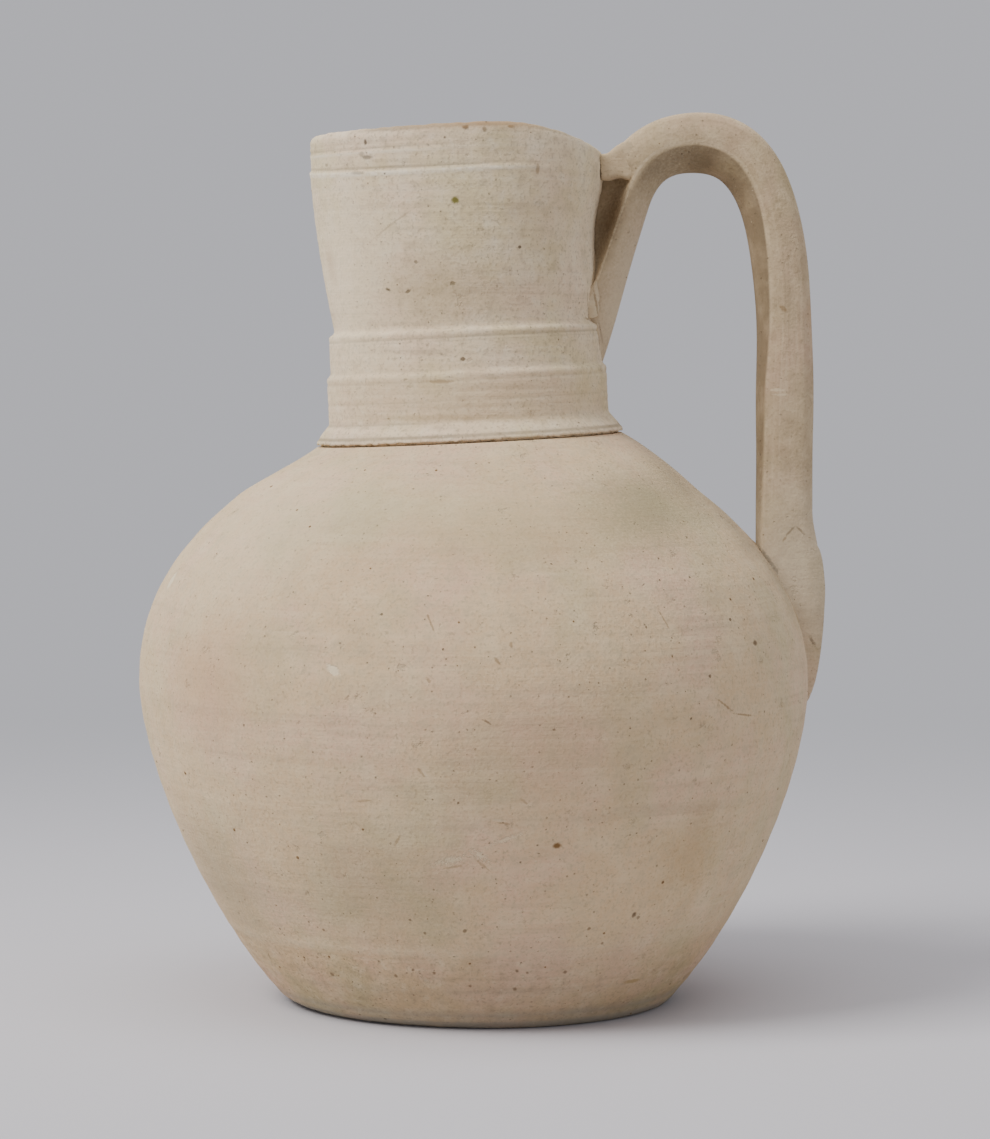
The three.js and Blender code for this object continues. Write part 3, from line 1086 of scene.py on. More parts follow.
@dataclass
class ThrownBody:
    """The round body, thrown in one piece with its flat base."""

    base_radius: float = 40.0
    base_rounding: float = 0.9
    foot_radius: float = 46.8
    foot_height: float = 8.5
    foot_flare: float = 35.3
    foot_pull: float = 28.4
    belly_radius: float = 69.5
    belly_height: float = 66.5
    belly_pull_down: float = 10.7
    belly_pull_up: float = 23.1
    shoulder_slope: float = 31.5
    shoulder_pull: float = 25.8
    mouth_radius: float = 31.6
    bore_radius: float = 25.0
    bore_gap: float = 1.0
    bore_drop: float = 0.5
    wall: float = 5.0
    floor: float = 7.0
    floor_gap: float = 2.0
    floor_cove: float = 3.0
    inside_rounding: float = 2.0
    inside_spacing: float = 2.6
    spacing: float = 0.8
    turning: Turning = Turning(360, 6.5, 0.07, 0.4, seed=3)
    grit: Strewing = Strewing(0.3, 0.12, 0.4, seed=11)
    scores: tuple[Score, ...] = (
        Score(17.2, 0.12, 0.9, 0.14, -60, 110), Score(15.0, -0.08, 0.8, -0.1, -60, 110),
        Score(12.4, 0.05, 0.8), Score(8.6, 0.0, 0.8, -0.15), Score(5.2, 0.1, 0.7, 0.1),
        Score(3.3, -0.06, 0.6, -0.2), Score(0.4, 0.0, 0.9, -0.8), Score(0.0, 0.0, 12.0, -0.6),
        Score(0.0, -1.5, 1.3, -0.4, -60, 85))

    def outer(self, seat: float) -> np.ndarray:
        """Draw the outer wall, from the base's edge to the neck's seat.

        Args:
            seat: Height of the seat.

        Returns:
            Radius and height along the wall.
        """
        flare, slope = math.radians(self.foot_flare), math.radians(self.shoulder_slope)
        foot, belly = (self.foot_radius, self.foot_height), (self.belly_radius, self.belly_height)
        mouth = (self.mouth_radius, seat)
        off_foot = (foot[0] + self.foot_pull * math.sin(flare),
                    foot[1] + self.foot_pull * math.cos(flare))
        off_mouth = (mouth[0] + self.shoulder_pull * math.cos(slope),
                     mouth[1] - self.shoulder_pull * math.sin(slope))
        return chain(
            bezier((self.base_radius, 0.0), foot),
            bezier(foot, off_foot, (belly[0], belly[1] - self.belly_pull_down), belly, steps=90),
            bezier(belly, (belly[0], belly[1] + self.belly_pull_up), off_mouth, mouth, steps=90))

    def profile(self, seat: float) -> np.ndarray:
        """Draw the closed outline, from the middle of the base round to the middle of the floor.

        Args:
            seat: Height of the neck's seat.

        Returns:
            Radius and height along the outline.
        """
        outer = self.outer(seat)
        inner = outer - self.wall * normals(outer)
        inner = inner[(inner[:, 1] > self.floor + self.floor_gap)
                      & (inner[:, 0] > self.bore_radius + self.bore_gap)][::-1]
        base = bezier((0.0, 0.0), (self.base_radius, 0.0), steps=12)
        bore = [(self.bore_radius, seat), (self.bore_radius, inner[0, 1] - self.bore_drop)]
        floor_edge = float(np.interp(self.floor, outer[:, 1], outer[:, 0])) - self.wall
        floor_edge -= self.floor_cove
        inside = np.vstack([bore, inner, [(floor_edge, self.floor)]])
        shown = even(softened(chain(base[-2:], outer), self.base_rounding), self.spacing)
        return np.vstack([
            base[:-2], shown, [(self.mouth_radius, seat)],
            even(softened(inside, self.inside_rounding), self.inside_spacing),
            bezier((floor_edge, self.floor), (0.0, self.floor), steps=10)[1:]])

    def build(self, shop: Workshop, clay: bpy.types.Material) -> bpy.types.Object:
        """Throw the body, set it down as it stands and strew it with grit.

        Args:
            shop: What it is made with.
            clay: Its material.

        Returns:
            The body.
        """
        seat = shop.posture.seat
        piece = shop.throw("thrown_body", self.profile(seat), clay, self.turning)
        scored = shop.scored(piece, self.outer(seat), self.scores)
        move_points(piece, shop.posture.stand(scored))
        shop.strew(piece, self.grit)
        return hand_over(piece, "body")


@dataclass
class ThrownNeck:
    """The neck, thrown apart: a flange, two stepped bands, a waist, a flare and a worn lip."""

    foot: float = 117.15
    flange_radius: float = 31.8
    flange_edge: float = 0.6
    flange_rise: float = 3.3
    lower_band_radius: float = 29.05
    lower_band_height: float = 9.55
    upper_band_radius: float = 28.2
    upper_band_height: float = 7.4
    band_step: float = 1.2
    ledge_flat: float = 0.25
    ledge_hollow: float = 0.4
    waist_radius: float = 27.0
    flare_height: float = 37.8
    flare_angle: float = 9.0
    flare_pull_low: float = 11.0
    flare_pull_high: float = 14.0
    rim_radius: float = 30.4
    lip_height: float = 2.4
    lip_rounding: float = 1.3
    lip_thickness: float = 4.2
    wall: float = 4.3
    edge_rounding: float = 0.3
    spacing: float = 0.36
    inside_spacing: float = 1.1
    dip: float = 5.6
    dip_spread: float = 75.0
    dip_depth: float = 20.0
    chip: float = 0.14
    chip_wear: float = 0.16
    chip_depth: float = 2.5
    tear: float = 0.24
    tear_height: float = 1.2
    turning: Turning = Turning(320, 3.6, 0.04, 0.25, seed=21)
    grit: Strewing = Strewing(0.25, 0.1, 0.3, seed=12)
    scores: tuple[Score, ...] = (
        Score(171.5, -0.35, 0.4, 0.0, -40, 95, step=True, bow=1.8),
        # Painted light at the step under the rim: a painted highlight along the ridge below it, and
        # painted shade in its corner above.
        Score(171.1, 0.14, 0.5, 0.7, -40, 95, bow=1.8),
        Score(172.2, 0.0, 0.4, -0.6, -40, 95, bow=1.8),
        Score(177.5, -0.14, 0.4, -0.4, -60, 80, bow=0.9),
        Score(176.3, -0.16, 0.4, -0.5, -60, 90, bow=0.9),
        Score(175.5, 0.05, 0.4, 0.4, -60, 90, bow=0.9), Score(180.3, 0.0, 0.7, -1.0, 10, 70),
        Score(138.0, -0.16, 0.35, -0.6), Score(137.2, -0.08, 0.3, -0.3),
        Score(129.3, -0.12, 0.35, -0.4), Score(127.0, -0.06, 0.4, -0.25),
        Score(125.2, -0.08, 0.4, -0.35), Score(123.6, -0.06, 0.4, -0.3),
        Score(120.9, -0.06, 0.4, -0.5, -60, 75), Score(118.15, -0.16, 0.35, -0.9))
    press: Score = Score(158.5, -1.4, 9.0, 0.0, 90.0, 75.0)

    def heights(self) -> tuple[float, ...]:
        """Stack the parts of the neck on its foot.

        Returns:
            Heights of both ends of the lower and the upper band, of the waist, the lip and the rim.
        """
        low = self.foot + self.flange_edge + self.flange_rise
        low_end = low + self.lower_band_height
        high = low_end + self.band_step
        high_end = high + self.upper_band_height
        waist = high_end + self.band_step
        lip = waist + self.flare_height
        return low, low_end, high, high_end, waist, lip, lip + self.lip_height

    def outer(self) -> np.ndarray:
        """Draw the outer wall, from the flange to the lip.

        Returns:
            Radius and height along the wall.
        """
        low, low_end, high, high_end, waist, lip, _ = self.heights()
        flare = math.radians(self.flare_angle)
        flange = (self.flange_radius, self.foot + self.flange_edge)
        lower = [(self.lower_band_radius, height) for height in (low, low_end)]
        upper = [(self.upper_band_radius, height) for height in (high, high_end)]
        narrow = (self.waist_radius, waist)
        off_waist = (narrow[0] + self.flare_pull_low * math.sin(flare),
                     narrow[1] + self.flare_pull_low * math.cos(flare))
        return chain(
            np.array([(self.flange_radius, self.foot), flange]), bezier(flange, lower[0]),
            bezier(*lower), self._ledge(lower[1], upper[0]), bezier(*upper),
            self._ledge(upper[1], narrow),
            bezier(narrow, off_waist, (self.rim_radius, lip - self.flare_pull_high),
                   (self.rim_radius, lip)))

    def _ledge(self, edge: tuple[float, float], top: tuple[float, float]) -> np.ndarray:
        """Line over the edge of a band and up to the wall above it, hollowed by a finger tip.

        Args:
            edge: Radius and height of the band's edge.
            top: Where the wall above starts.

        Returns:
            Radius and height along the line.
        """
        inset, rise = edge[0] - top[0], top[1] - edge[1]
        flat = (top[0] + self.ledge_flat * inset, edge[1] + self.ledge_flat * rise)
        return bezier(edge, flat, (top[0], edge[1] + self.ledge_hollow * rise), top, steps=16)

    def profile(self) -> np.ndarray:
        """Draw the closed outline: up the outer wall, over the lip, down the bore, along the foot.

        Returns:
            Radius and height along the outline.
        """
        _, low_end, _, _, waist_height, lip, rim = self.heights()
        mouth, waist = self.rim_radius - self.lip_thickness, self.waist_radius - self.wall
        bore = self.lower_band_radius - self.wall
        crest = (self.rim_radius - self.lip_rounding, rim), (mouth + self.lip_rounding, rim)
        over = chain(
            bezier((self.rim_radius, lip), (self.rim_radius, rim), crest[0], steps=8),
            bezier(*crest, steps=4), bezier(crest[1], (mouth, rim), (mouth, lip), steps=8))
        inside = chain(
            bezier((mouth, lip), (mouth, lip - self.flare_pull_high),
                   (waist, waist_height + self.flare_pull_low), (waist, waist_height)),
            bezier((waist, waist_height), (waist, low_end), (bore, self.foot)))
        shown = even(softened(chain(self.outer(), over), self.edge_rounding), self.spacing)
        foot = bezier((bore, self.foot), (self.flange_radius, self.foot), steps=6)
        return np.vstack([shown, even(inside, self.inside_spacing)[1:], foot[1:]])

    def dipped(self, points: np.ndarray) -> np.ndarray:
        """Let the rim dip towards the handle, and wear the rim and the foot unevenly.

        Args:
            points: Points of the upright neck.

        Returns:
            The points with the dip and the wear in them.
        """
        over = points[:, 2] - self.heights()[-1]
        angle = np.arctan2(points[:, 1], points[:, 0])
        near = np.minimum(1.0, np.abs(np.degrees(angle)) / self.dip_spread)
        share = (1 + np.cos(np.pi * near)) / 2
        down = self.dip * share * smooth((over + self.dip_depth) / self.dip_depth)
        chipped = ripple(angle, self.chip, seed=5, waves=14, fastest=70) - self.chip_wear
        chipped *= smooth((over + self.chip_depth) / self.chip_depth)
        torn = ripple(angle, self.tear, seed=8, waves=20, fastest=140)
        torn *= smooth((self.foot + self.tear_height - points[:, 2]) / self.tear_height)
        return points + np.stack([0 * down, 0 * down, chipped + torn - down], 1)

    def build(self, shop: Workshop, clay: bpy.types.Material) -> bpy.types.Object:
        """Throw the neck, dip its rim, let it lean and strew it with grit.

        Args:
            shop: What it is made with.
            clay: Its material.

        Returns:
            The neck.
        """
        piece = shop.throw("thrown_neck", self.profile(), clay, self.turning)
        scored = shop.scored(piece, self.outer(), (*self.scores, self.press))
        move_points(piece, shop.posture.stand(self.dipped(scored)))
        shop.strew(piece, self.grit)
        return hand_over(piece, "neck")


@dataclass
class SeamSlip:
    """The ring of slip in the cracked seam between the body and the neck."""

    inner_radius: float = 25.0
    outer_radius: float = 31.0
    bulge: float = 0.3
    low: float = 116.7
    high: float = 117.6
    spacing: float = 0.4
    turning: Turning = Turning(320, 3.0, 0.3, 0.6, seed=31)

    def build(self, shop: Workshop, clay: bpy.types.Material) -> bpy.types.Object:
        """Turn the ring and let it stand in the seam.

        Args:
            shop: What it is made with.
            clay: Its material.

        Returns:
            The ring.
        """
        edge = self.outer_radius - self.bulge
        ring = np.array([
            (self.inner_radius, self.low), (edge, self.low),
            (self.outer_radius, (self.low + self.high) / 2), (edge, self.high),
            (self.inner_radius, self.high), (self.inner_radius, self.low)])
        piece = shop.throw("seam_slip", even(ring, self.spacing), clay, self.turning)
        move_points(piece, shop.posture.stand(points_of(piece)))
        return hand_over(piece, "neck_slip")


@dataclass
class PulledStrap:
    """The handle: a strap pulled from wet clay, bent over an arch and pressed onto the pot.

    Rows of five values lie at the root, the spring, the top, the leg and the end. Pairs are shares
    of the thickness and of the width, and those named pressed are what a pressed face loses of
    them.
    """

    thickness: float = 11.6
    width: float = 15.6
    inner_flat: float = 0.36
    inner_bevel: tuple[float, float] = (0.42, 0.8)
    outer_bevel: tuple[float, float] = (0.55, 0.97)
    outer_edge: tuple[float, float] = (0.9, 0.76)
    outer_flat: float = 0.34
    pressed_bevel: tuple[float, float] = (0.4, 0.4)
    pressed_edge: tuple[float, float] = (0.2, 0.6)
    pressed_flat: float = 0.26
    rim_height: float = 180.6
    rim_edge: float = 25.82
    rise: float = 3.5
    arch_setback: float = 19.4
    arch_pull_neck: float = 8.5
    arch_pull_top_neck: float = 8.0
    arch_pull_top_leg: float = 13.0
    arch_pull_leg: float = 35.5
    arch_drop: float = 49.0
    arch_swell: float = 0.7
    arch_swell_reach: float = 13.0
    spring_drop: float = 16.0
    spring_standoff: float = 4.78
    root_height: float = 133.0
    root_depth: float = 5.4
    leg: float = 63.7
    end_height: float = 80.5
    end_depth: float = 6.0
    end_bend: float = 14.0
    spacing: float = 0.55
    arris: tuple[float, ...] = (1.2, -0.4, -0.4, -3.8, -5.2)
    soft: tuple[float, ...] = (0.14, 0.17, 0.24, 0.38, 0.25)
    rubbed: tuple[float, ...] = (0.8, 0.7, 0.3, 0.08, 0.05)
    # Painted shade on the inner faces, for the neck's shadow: its strength at the five places,
    # where it starts and how softly it blends.
    painted_shade: tuple[float, ...] = (0.1, 0.3, 1.0, 1.0, 0.7)
    painted_shade_edge: float = 0.1
    painted_shade_blend: float = 1.4
    ridge: float = 0.5
    ridge_share: float = 0.8
    hollow_past_spring: float = 3.5
    hollow_end: float = 4.0
    heel: float = 1.4
    heel_from: float = 22.0
    heel_ease: float = 10.0
    wave: float = 0.1
    wave_length: float = 9.0
    wave_shift: float = 0.7
    wavelet: float = 0.07
    wavelet_length: float = 4.3
    calm_end: float = 40.0
    bury: float = 0.15
    grit: Strewing = Strewing(0.3, 0.1, 0.3, seed=13)

    def path(self, neck: Wall, body: Wall) -> tuple[np.ndarray, np.ndarray]:
        """Draw the middle line from the root on the neck, over the arch, down into the shoulder.

        Args:
            neck: The neck's wall.
            body: The body's wall.

        Returns:
            Points of the line, and how far along it the root, spring, top, leg and end lie.
        """
        root = neck.point(self.root_height) - (self.root_depth, 0, 0)
        spring = neck.point(self.rim_height - self.spring_drop) + (self.spring_standoff, 0, 0)
        rising = (spring - root) / np.linalg.norm(spring - root)
        crown = self.rim_height + self.rise
        top = np.array([self.rim_edge + self.arch_setback, 0, crown - self.thickness / 2])
        leg_top = np.array([self.leg, 0, top[2] - self.arch_drop])
        end = body.point(self.end_height) - (self.end_depth, 0, 0)
        bend = np.array([self.leg, 0, end[2] + self.end_bend])
        corner = np.array([self.leg, 0, end[2] + self.end_bend / 2])
        parts = [
            bezier(root, spring),
            bezier(spring, spring + rising * self.arch_pull_neck,
                   top - (self.arch_pull_top_neck, 0, 0), top),
            bezier(top, top + (self.arch_pull_top_leg, 0, 0),
                   leg_top + (0, 0, self.arch_pull_leg), leg_top),
            chain(bezier(leg_top, bend), bezier(bend, corner, end))]
        lengths = [measured(part)[-1] for part in parts]
        return even(chain(*parts), self.spacing), np.concatenate([[0.0], np.cumsum(lengths)])

    def section(self, arris: float, hollow: float, soft: float) -> np.ndarray:
        """Outline across the strap.

        Args:
            arris: Where the ridge of the side lies, from the middle outwards.
            hollow: How far the outer face is pressed in at its edges, from 0 to 1.
            soft: How far the edges are rounded, from 0.1 to 0.4.

        Returns:
            Outward and sideways place of each point, round the strap.
        """
        half, side = self.thickness / 2, self.width / 2
        bevel, edge = (
            [share - hollow * less for share, less in zip(whole, pressed)]
            for whole, pressed in ((self.outer_bevel, self.pressed_bevel),
                                   (self.outer_edge, self.pressed_edge)))
        flat = self.outer_flat - self.pressed_flat * hollow
        quarter = [
            (-half, self.inner_flat * side),
            (-half + self.inner_bevel[0] * (arris + half), self.inner_bevel[1] * side),
            (arris, side), (arris + bevel[0] * (half - arris), bevel[1] * side),
            (edge[0] * half, edge[1] * side), (half, flat * side)]
        loop = np.array(quarter + [(u, -v) for u, v in reversed(quarter)])
        for share in (soft, 0.25, 0.25):
            loop = trimmed(loop, share)
        return loop

    def heeled(self, cut: np.ndarray, size: float) -> np.ndarray:
        """Swell the outer side of a section, as at the foot of the strap.

        Args:
            cut: Outward and sideways place of each point.
            size: How far the outer face moves out.

        Returns:
            The swollen section.
        """
        out = size * np.clip(cut[:, 0] / (self.thickness / 2), 0.0, 1.0)
        return np.stack([cut[:, 0] + out, cut[:, 1]], 1)

    def swept(self, path: np.ndarray, stops: np.ndarray) -> np.ndarray:
        """Points of the strap, ring by ring along its middle line.

        Args:
            path: Points of the line.
            stops: How far along it the root, spring, top, leg and end lie.

        Returns:
            Points by ring and place in the ring.
        """
        along = tangents(path)
        outward = np.stack([-along[:, 2], 0 * along[:, 0], along[:, 0]], 1)
        reach = np.linspace(0.0, stops[-1], len(path))
        arris, soft = np.interp(reach, stops, self.arris), np.interp(reach, stops, self.soft)
        hollow = 1 - smooth((reach - stops[1] - self.hollow_past_spring) / self.hollow_end)
        heel = self.heel * smooth((self.heel_from - reach[-1] + reach) / self.heel_ease)
        uneven = (self.wave * np.sin(reach / self.wave_length + self.wave_shift)
                  + self.wavelet * np.sin(reach / self.wavelet_length))
        uneven *= smooth((reach[-1] - reach) / self.calm_end)
        swell = self.arch_swell * np.exp(-((reach - stops[2]) / self.arch_swell_reach) ** 2)
        rings = []
        for i in range(len(path)):
            cut = self.heeled(self.section(arris[i], hollow[i], soft[i]), heel[i])
            u = cut[:, 0] + np.sign(cut[:, 0]) * uneven[i]
            u += swell[i] * np.minimum(0.0, cut[:, 0]) / (self.thickness / 2)
            v = cut[:, 1] * (1 + uneven[i] / (self.width / 2))
            rings.append(path[i] + u[:, None] * outward[i] + v[:, None] * np.array([0.0, 1.0, 0.0]))
        return np.array(rings)

    def worn_and_shaded(self, count: int, stops: np.ndarray) -> np.ndarray:
        """How far each point is rubbed pale along the ridges, and how dark the inner faces are
        painted as the shade that the neck casts on them.

        Args:
            count: Number of rings.
            stops: How far along the strap the root, spring, top, leg and end lie.

        Returns:
            Wear and painted shade of each point, ring by ring, from -1 for painted shade to 1 for
            rubbed clay.
        """
        reach = np.linspace(0.0, stops[-1], count)
        arris, soft, painted_shade, rubbed = [
            np.interp(reach, stops, row)
            for row in (self.arris, self.soft, self.painted_shade, self.rubbed)]
        rows = []
        for i in range(count):
            u, v = self.section(arris[i], 0.0, soft[i]).T
            # Painted shade on the inner faces, which lie in the neck's shadow.
            inner = smooth((arris[i] + self.painted_shade_edge - u) / self.painted_shade_blend)
            ridge = np.exp(-((u - arris[i]) / self.ridge) ** 2)
            ridge = ridge * (np.abs(v) > self.ridge_share * self.width / 2)
            rows.append(rubbed[i] * ridge * (1 - inner) - painted_shade[i] * inner)
        return np.concatenate(rows)

    def _lay_out(self, piece: bpy.types.Object, rings: np.ndarray, step: float) -> None:
        """Lay a UV map on the strap, along its pull and across it, in metres.

        Args:
            piece: The strap.
            rings: Its points by ring and place in the ring.
            step: Distance from ring to ring, in metres.
        """
        count, around = rings.shape[:2]
        middle = rings[count // 2]
        across = measured(np.vstack([middle, middle[:1]])) * MM
        layer = piece.data.uv_layers.new(name=PULL)
        for face in piece.data.polygons:
            numbers = [min(n, count * around - 1) for n in face.vertices]
            seam = {0, around - 1} <= {n % around for n in numbers}
            for loop, n in zip(face.loop_indices, numbers):
                k = n % around
                layer.data[loop].uv = (
                    (n // around) * step, across[around if seam and k == 0 else k])

    def build(self, shop: Workshop, neck: Wall, body: Wall,
              clay: bpy.types.Material) -> bpy.types.Object:
        """Sweep the strap and press its two ends onto the pot.

        Args:
            shop: What it is made with.
            neck: The neck's wall.
            body: The body's wall.
            clay: Its material.

        Returns:
            The strap.
        """
        path, stops = self.path(neck, body)
        rings = self.swept(path, stops)
        count, around = rings.shape[:2]
        points = np.vstack([rings.reshape(-1, 3), path[:1], path[-1:]])
        points = body.clear(neck.clear(points, -self.bury), -self.bury)
        piece = mesh_object("pulled_strap", points, tube_faces(count, around))
        self._lay_out(piece, rings, np.linalg.norm(path[1] - path[0]) * MM)
        rub(piece, np.append(self.worn_and_shaded(count, stops), [0.0, 0.0]))
        piece.data.materials.append(clay)
        shop.strew(piece, self.grit)
        return hand_over(piece, "handle_strap")


@dataclass
class ClayWad:
    """A wad of clay pressed flat over a joint with the thumb."""

    name: str
    node: str
    outline: tuple[tuple[float, float], ...]
    depth: float
    seed: int
    fullness: float = 6.0
    uneven: float = 0.15
    lumps: int = 9
    lump_pitch: float = 5.0
    lump_shift: float = 6.0
    corner: float = 0.15
    taper: float = 0.0
    fold: float = 0.0
    smoothing: int = 0
    wrap: tuple[float, float] = (1.6, 2.2)
    lift: float = 0.06
    bare: float = 3.0
    bare_blend: float = 2.0
    bury: float = 0.15

    def reach(self, angle: np.ndarray) -> np.ndarray:
        """How far the wad reaches from its middle, seen from the front.

        Args:
            angle: Directions, in radians from +X towards +Z.

        Returns:
            Distance to the outline in each direction.
        """
        loop = np.array(self.outline)
        for _ in range(3):
            loop = trimmed(loop, self.corner)
        loop = even(np.vstack([loop, loop[:1]]), 0.1)
        turned = np.arctan2(loop[:, 1], loop[:, 0])
        return np.interp(angle, turned, np.hypot(*loop.T), period=LAP)

    def shaped(self, ball: np.ndarray, strap: np.ndarray | None) -> np.ndarray:
        """Press a ball of clay into the wad's shape.

        Args:
            ball: Points of a ball with radius 1.
            strap: Section of the strap that the wad wraps, or None.

        Returns:
            The points, from the middle of the wad.
        """
        dice = np.random.default_rng(self.seed)
        lumps = sum(
            np.sin(ball @ dice.normal(0, self.lump_pitch, 3) + dice.uniform(0, self.lump_shift))
            for _ in range(self.lumps)) / self.lumps * self.uneven
        across, power = np.hypot(ball[:, 0], ball[:, 2]), self.fullness
        full = (across ** power + np.abs(ball[:, 1]) ** power) ** (-1 / power)
        reach = self.reach(np.arctan2(ball[:, 2], ball[:, 0])) + lumps
        points = ball * full[:, None] * np.stack([reach, self.depth / 2 + lumps, reach], 1)
        if strap is not None:
            points = self._wrapped(points, strap)
        low = np.clip(points[:, 2] / points[:, 2].min(), 0.0, 1.0)
        points[:, 1] *= np.sqrt(1 - (self.taper * low) ** 2)
        return points

    def _wrapped(self, points: np.ndarray, strap: np.ndarray) -> np.ndarray:
        """Press a wad round the strap, with a fold where its upper edge ends.

        Args:
            points: Points of the wad, from its middle.
            strap: Section of the strap.

        Returns:
            The points, at most a thin layer over the strap's sides.
        """
        side = strap[strap[:, 1] > strap[:, 1].max() / 2]
        side = side[np.argsort(side[:, 0])]
        x, z, top = points[:, 0], points[:, 2], points[:, 2].max()
        swollen = np.where(x > 0, smooth(self.wrap[0] - self.wrap[1] * z / top), 0.0)
        place = x * (1 - swollen * (1 - strap[:, 0].max() / x.max()))
        lift = (self.lift + self.bury) * smooth((x + self.bare) / self.bare_blend) - self.bury
        most = np.interp(place, side[:, 0], side[:, 1]) + lift
        y = np.clip(points[:, 1], -most, most)
        folded = self.fold * (1 - (y / most) ** 2) * (smooth(x / x.max()) * smooth(z / top))
        return np.stack([x, y, z - folded], 1)

    def build(self, shop: Workshop, center: np.ndarray, wall: Wall, clay: bpy.types.Material,
              strap: np.ndarray | None = None) -> bpy.types.Object:
        """Shape the wad and press it onto the pot.

        Args:
            shop: What it is made with.
            center: Where the middle of its outline lies.
            wall: The wall it is pressed on.
            clay: Its material.
            strap: Section of the strap that the wad wraps, or None.

        Returns:
            The wad.
        """
        maker = bmesh.new()
        bmesh.ops.create_icosphere(maker, subdivisions=5, radius=1.0)
        ball = np.array([v.co for v in maker.verts])
        faces = [tuple(v.index for v in f.verts) for f in maker.faces]
        ends = np.array([[v.index for v in e.verts] for e in maker.edges])
        maker.free()
        points = self.shaped(ball, strap)
        for _ in range(self.smoothing):
            total, count = np.zeros_like(points), np.zeros(len(points))
            for one, other in (ends.T, ends.T[::-1]):
                np.add.at(total, one, points[other])
                np.add.at(count, one, 1)
            points = total / count[:, None]
        piece = mesh_object(self.name, wall.clear(center + points, -self.bury), faces)
        piece.data.materials.append(clay)
        shop.strew(piece, Strewing(0.2, 0.1, 0.25, self.seed))
        return hand_over(piece, self.node)


@dataclass
class SlipPatch:
    """A thin smear of slip on a wall, which shows as a soft edge round what it holds."""

    name: str
    node: str
    low: float
    high: float
    seed: int
    half_width: float = 9.7
    lift: float = 0.2
    sunk: float = 0.5
    under: float = 0.3
    uneven: float = 0.03
    edge_from: float = 0.7
    edge_blend: float = 0.3
    rows: int = 110
    columns: int = 70

    def build(self, wall: Wall, clay: bpy.types.Material) -> bpy.types.Object:
        """Spread the slip over the handle's side of a wall.

        Args:
            wall: The wall.
            clay: Its material.

        Returns:
            The smear.
        """
        up, across = np.linspace(-1.0, 1.0, self.rows), np.linspace(-1.0, 1.0, self.columns)
        middle, reach = (self.low + self.high) / 2, (self.high - self.low) / 2
        places = np.array([
            wall.point(middle + reach * h, side=self.half_width * a) for h in up for a in across])
        grid_up, grid_across = np.repeat(up, self.columns), np.tile(across, self.rows)
        angle = np.arctan2(grid_up, grid_across)
        edge = np.hypot(grid_up, grid_across)
        edge *= 1 + ripple(angle, self.uneven, self.seed, waves=4, fastest=8)
        cover = 1 - smooth((edge - self.edge_from) / self.edge_blend)
        height = (self.lift + self.sunk) * cover - self.sunk
        on_wall = wall.clear(places, 0.0)
        out = wall.clear(places, 1.0) - on_wall
        top = on_wall + out * height[:, None]
        under = places - out * (self.sunk + self.under)
        piece = mesh_object(self.name, np.vstack([top, under]), self._faces())
        piece.data.materials.append(clay)
        return hand_over(piece, self.node)

    def _faces(self) -> list[tuple[int, ...]]:
        """Close an upper and an under sheet of points round their edge.

        Returns:
            Point numbers of each face.
        """
        count, wide = self.rows * self.columns, self.columns
        sheet = [(r * wide + k, r * wide + k + 1, (r + 1) * wide + k + 1, (r + 1) * wide + k)
                 for r in range(self.rows - 1) for k in range(wide - 1)]
        rim = [*range(wide), *(r * wide + wide - 1 for r in range(1, self.rows)),
               *(count - 1 - k for k in range(1, wide)),
               *(r * wide for r in range(self.rows - 2, 0, -1))]
        edge = [(a + count, b + count, b, a) for a, b in zip(rim, rim[1:] + rim[:1])]
        return sheet + [tuple(n + count for n in reversed(face)) for face in sheet] + edge


@dataclass(frozen=True)
class SoftLight:
    """A square soft light, with its place and side in metres and its power in watts."""

    name: str
    at: tuple[float, float, float]
    side: float
    power: float

    def hang(self, aim: tuple[float, float, float]) -> None:
        """Hang the light so that it looks at the pot.

        Args:
            aim: What it looks at, in metres.
        """
        lamp = bpy.data.lights.new(self.name, "AREA")
        lamp.size, lamp.energy = self.side, self.power
        hung = bpy.data.objects.new(self.name, lamp)
        bpy.context.scene.collection.objects.link(hung)
        hung.location = self.at
        away = np.array(self.at) - aim
        turn = math.atan2(away[1], away[0]) + math.pi / 2
        hung.rotation_euler = (math.acos(away[2] / np.linalg.norm(away)), 0, turn)


@dataclass
class Studio:
    """A pale table that fades into a grey room, soft light from the left and the camera."""

    paper: MattPaper = MattPaper()
    room: str = "c2c2c8"
    table_reach_m: float = 6.0
    table_sides: int = 96
    lights: tuple[SoftLight, ...] = (
        SoftLight("key", (-1.2, -0.72, 1.55), 1.0, 43.0),
        SoftLight("overhead", (0.1, -0.3, 1.6), 1.2, 7.5))
    aim_m: tuple[float, float, float] = (0.0, 0.0, 0.09)
    camera_at_m: tuple[float, float, float] = (0.003536, -0.790, 0.136)
    camera_down: float = 3.368
    lens: float = 120.04

    def build(self) -> None:
        """Set up the table, the light and the camera."""
        around = np.linspace(0, LAP, self.table_sides + 1)[:-1]
        disc = np.stack([np.cos(around), np.sin(around), 0 * around], 1) * self.table_reach_m / MM
        floor = mesh_object("table_top", disc, [tuple(range(len(around)))])
        floor.data.materials.append(self.paper.material(self.room))
        for light in self.lights:
            light.hang(self.aim_m)
        world = bpy.data.worlds.new("grey_room")
        world.use_nodes = True
        world.node_tree.nodes["Background"].inputs["Color"].default_value = linear(self.room)
        bpy.context.scene.world = world
        lens = bpy.data.cameras.new("camera")
        lens.lens = self.lens
        camera = bpy.data.objects.new("camera", lens)
        camera.location = self.camera_at_m
        camera.rotation_euler = (math.radians(90 - self.camera_down), 0, 0)
        bpy.context.scene.collection.objects.link(camera)
        bpy.context.scene.camera = camera


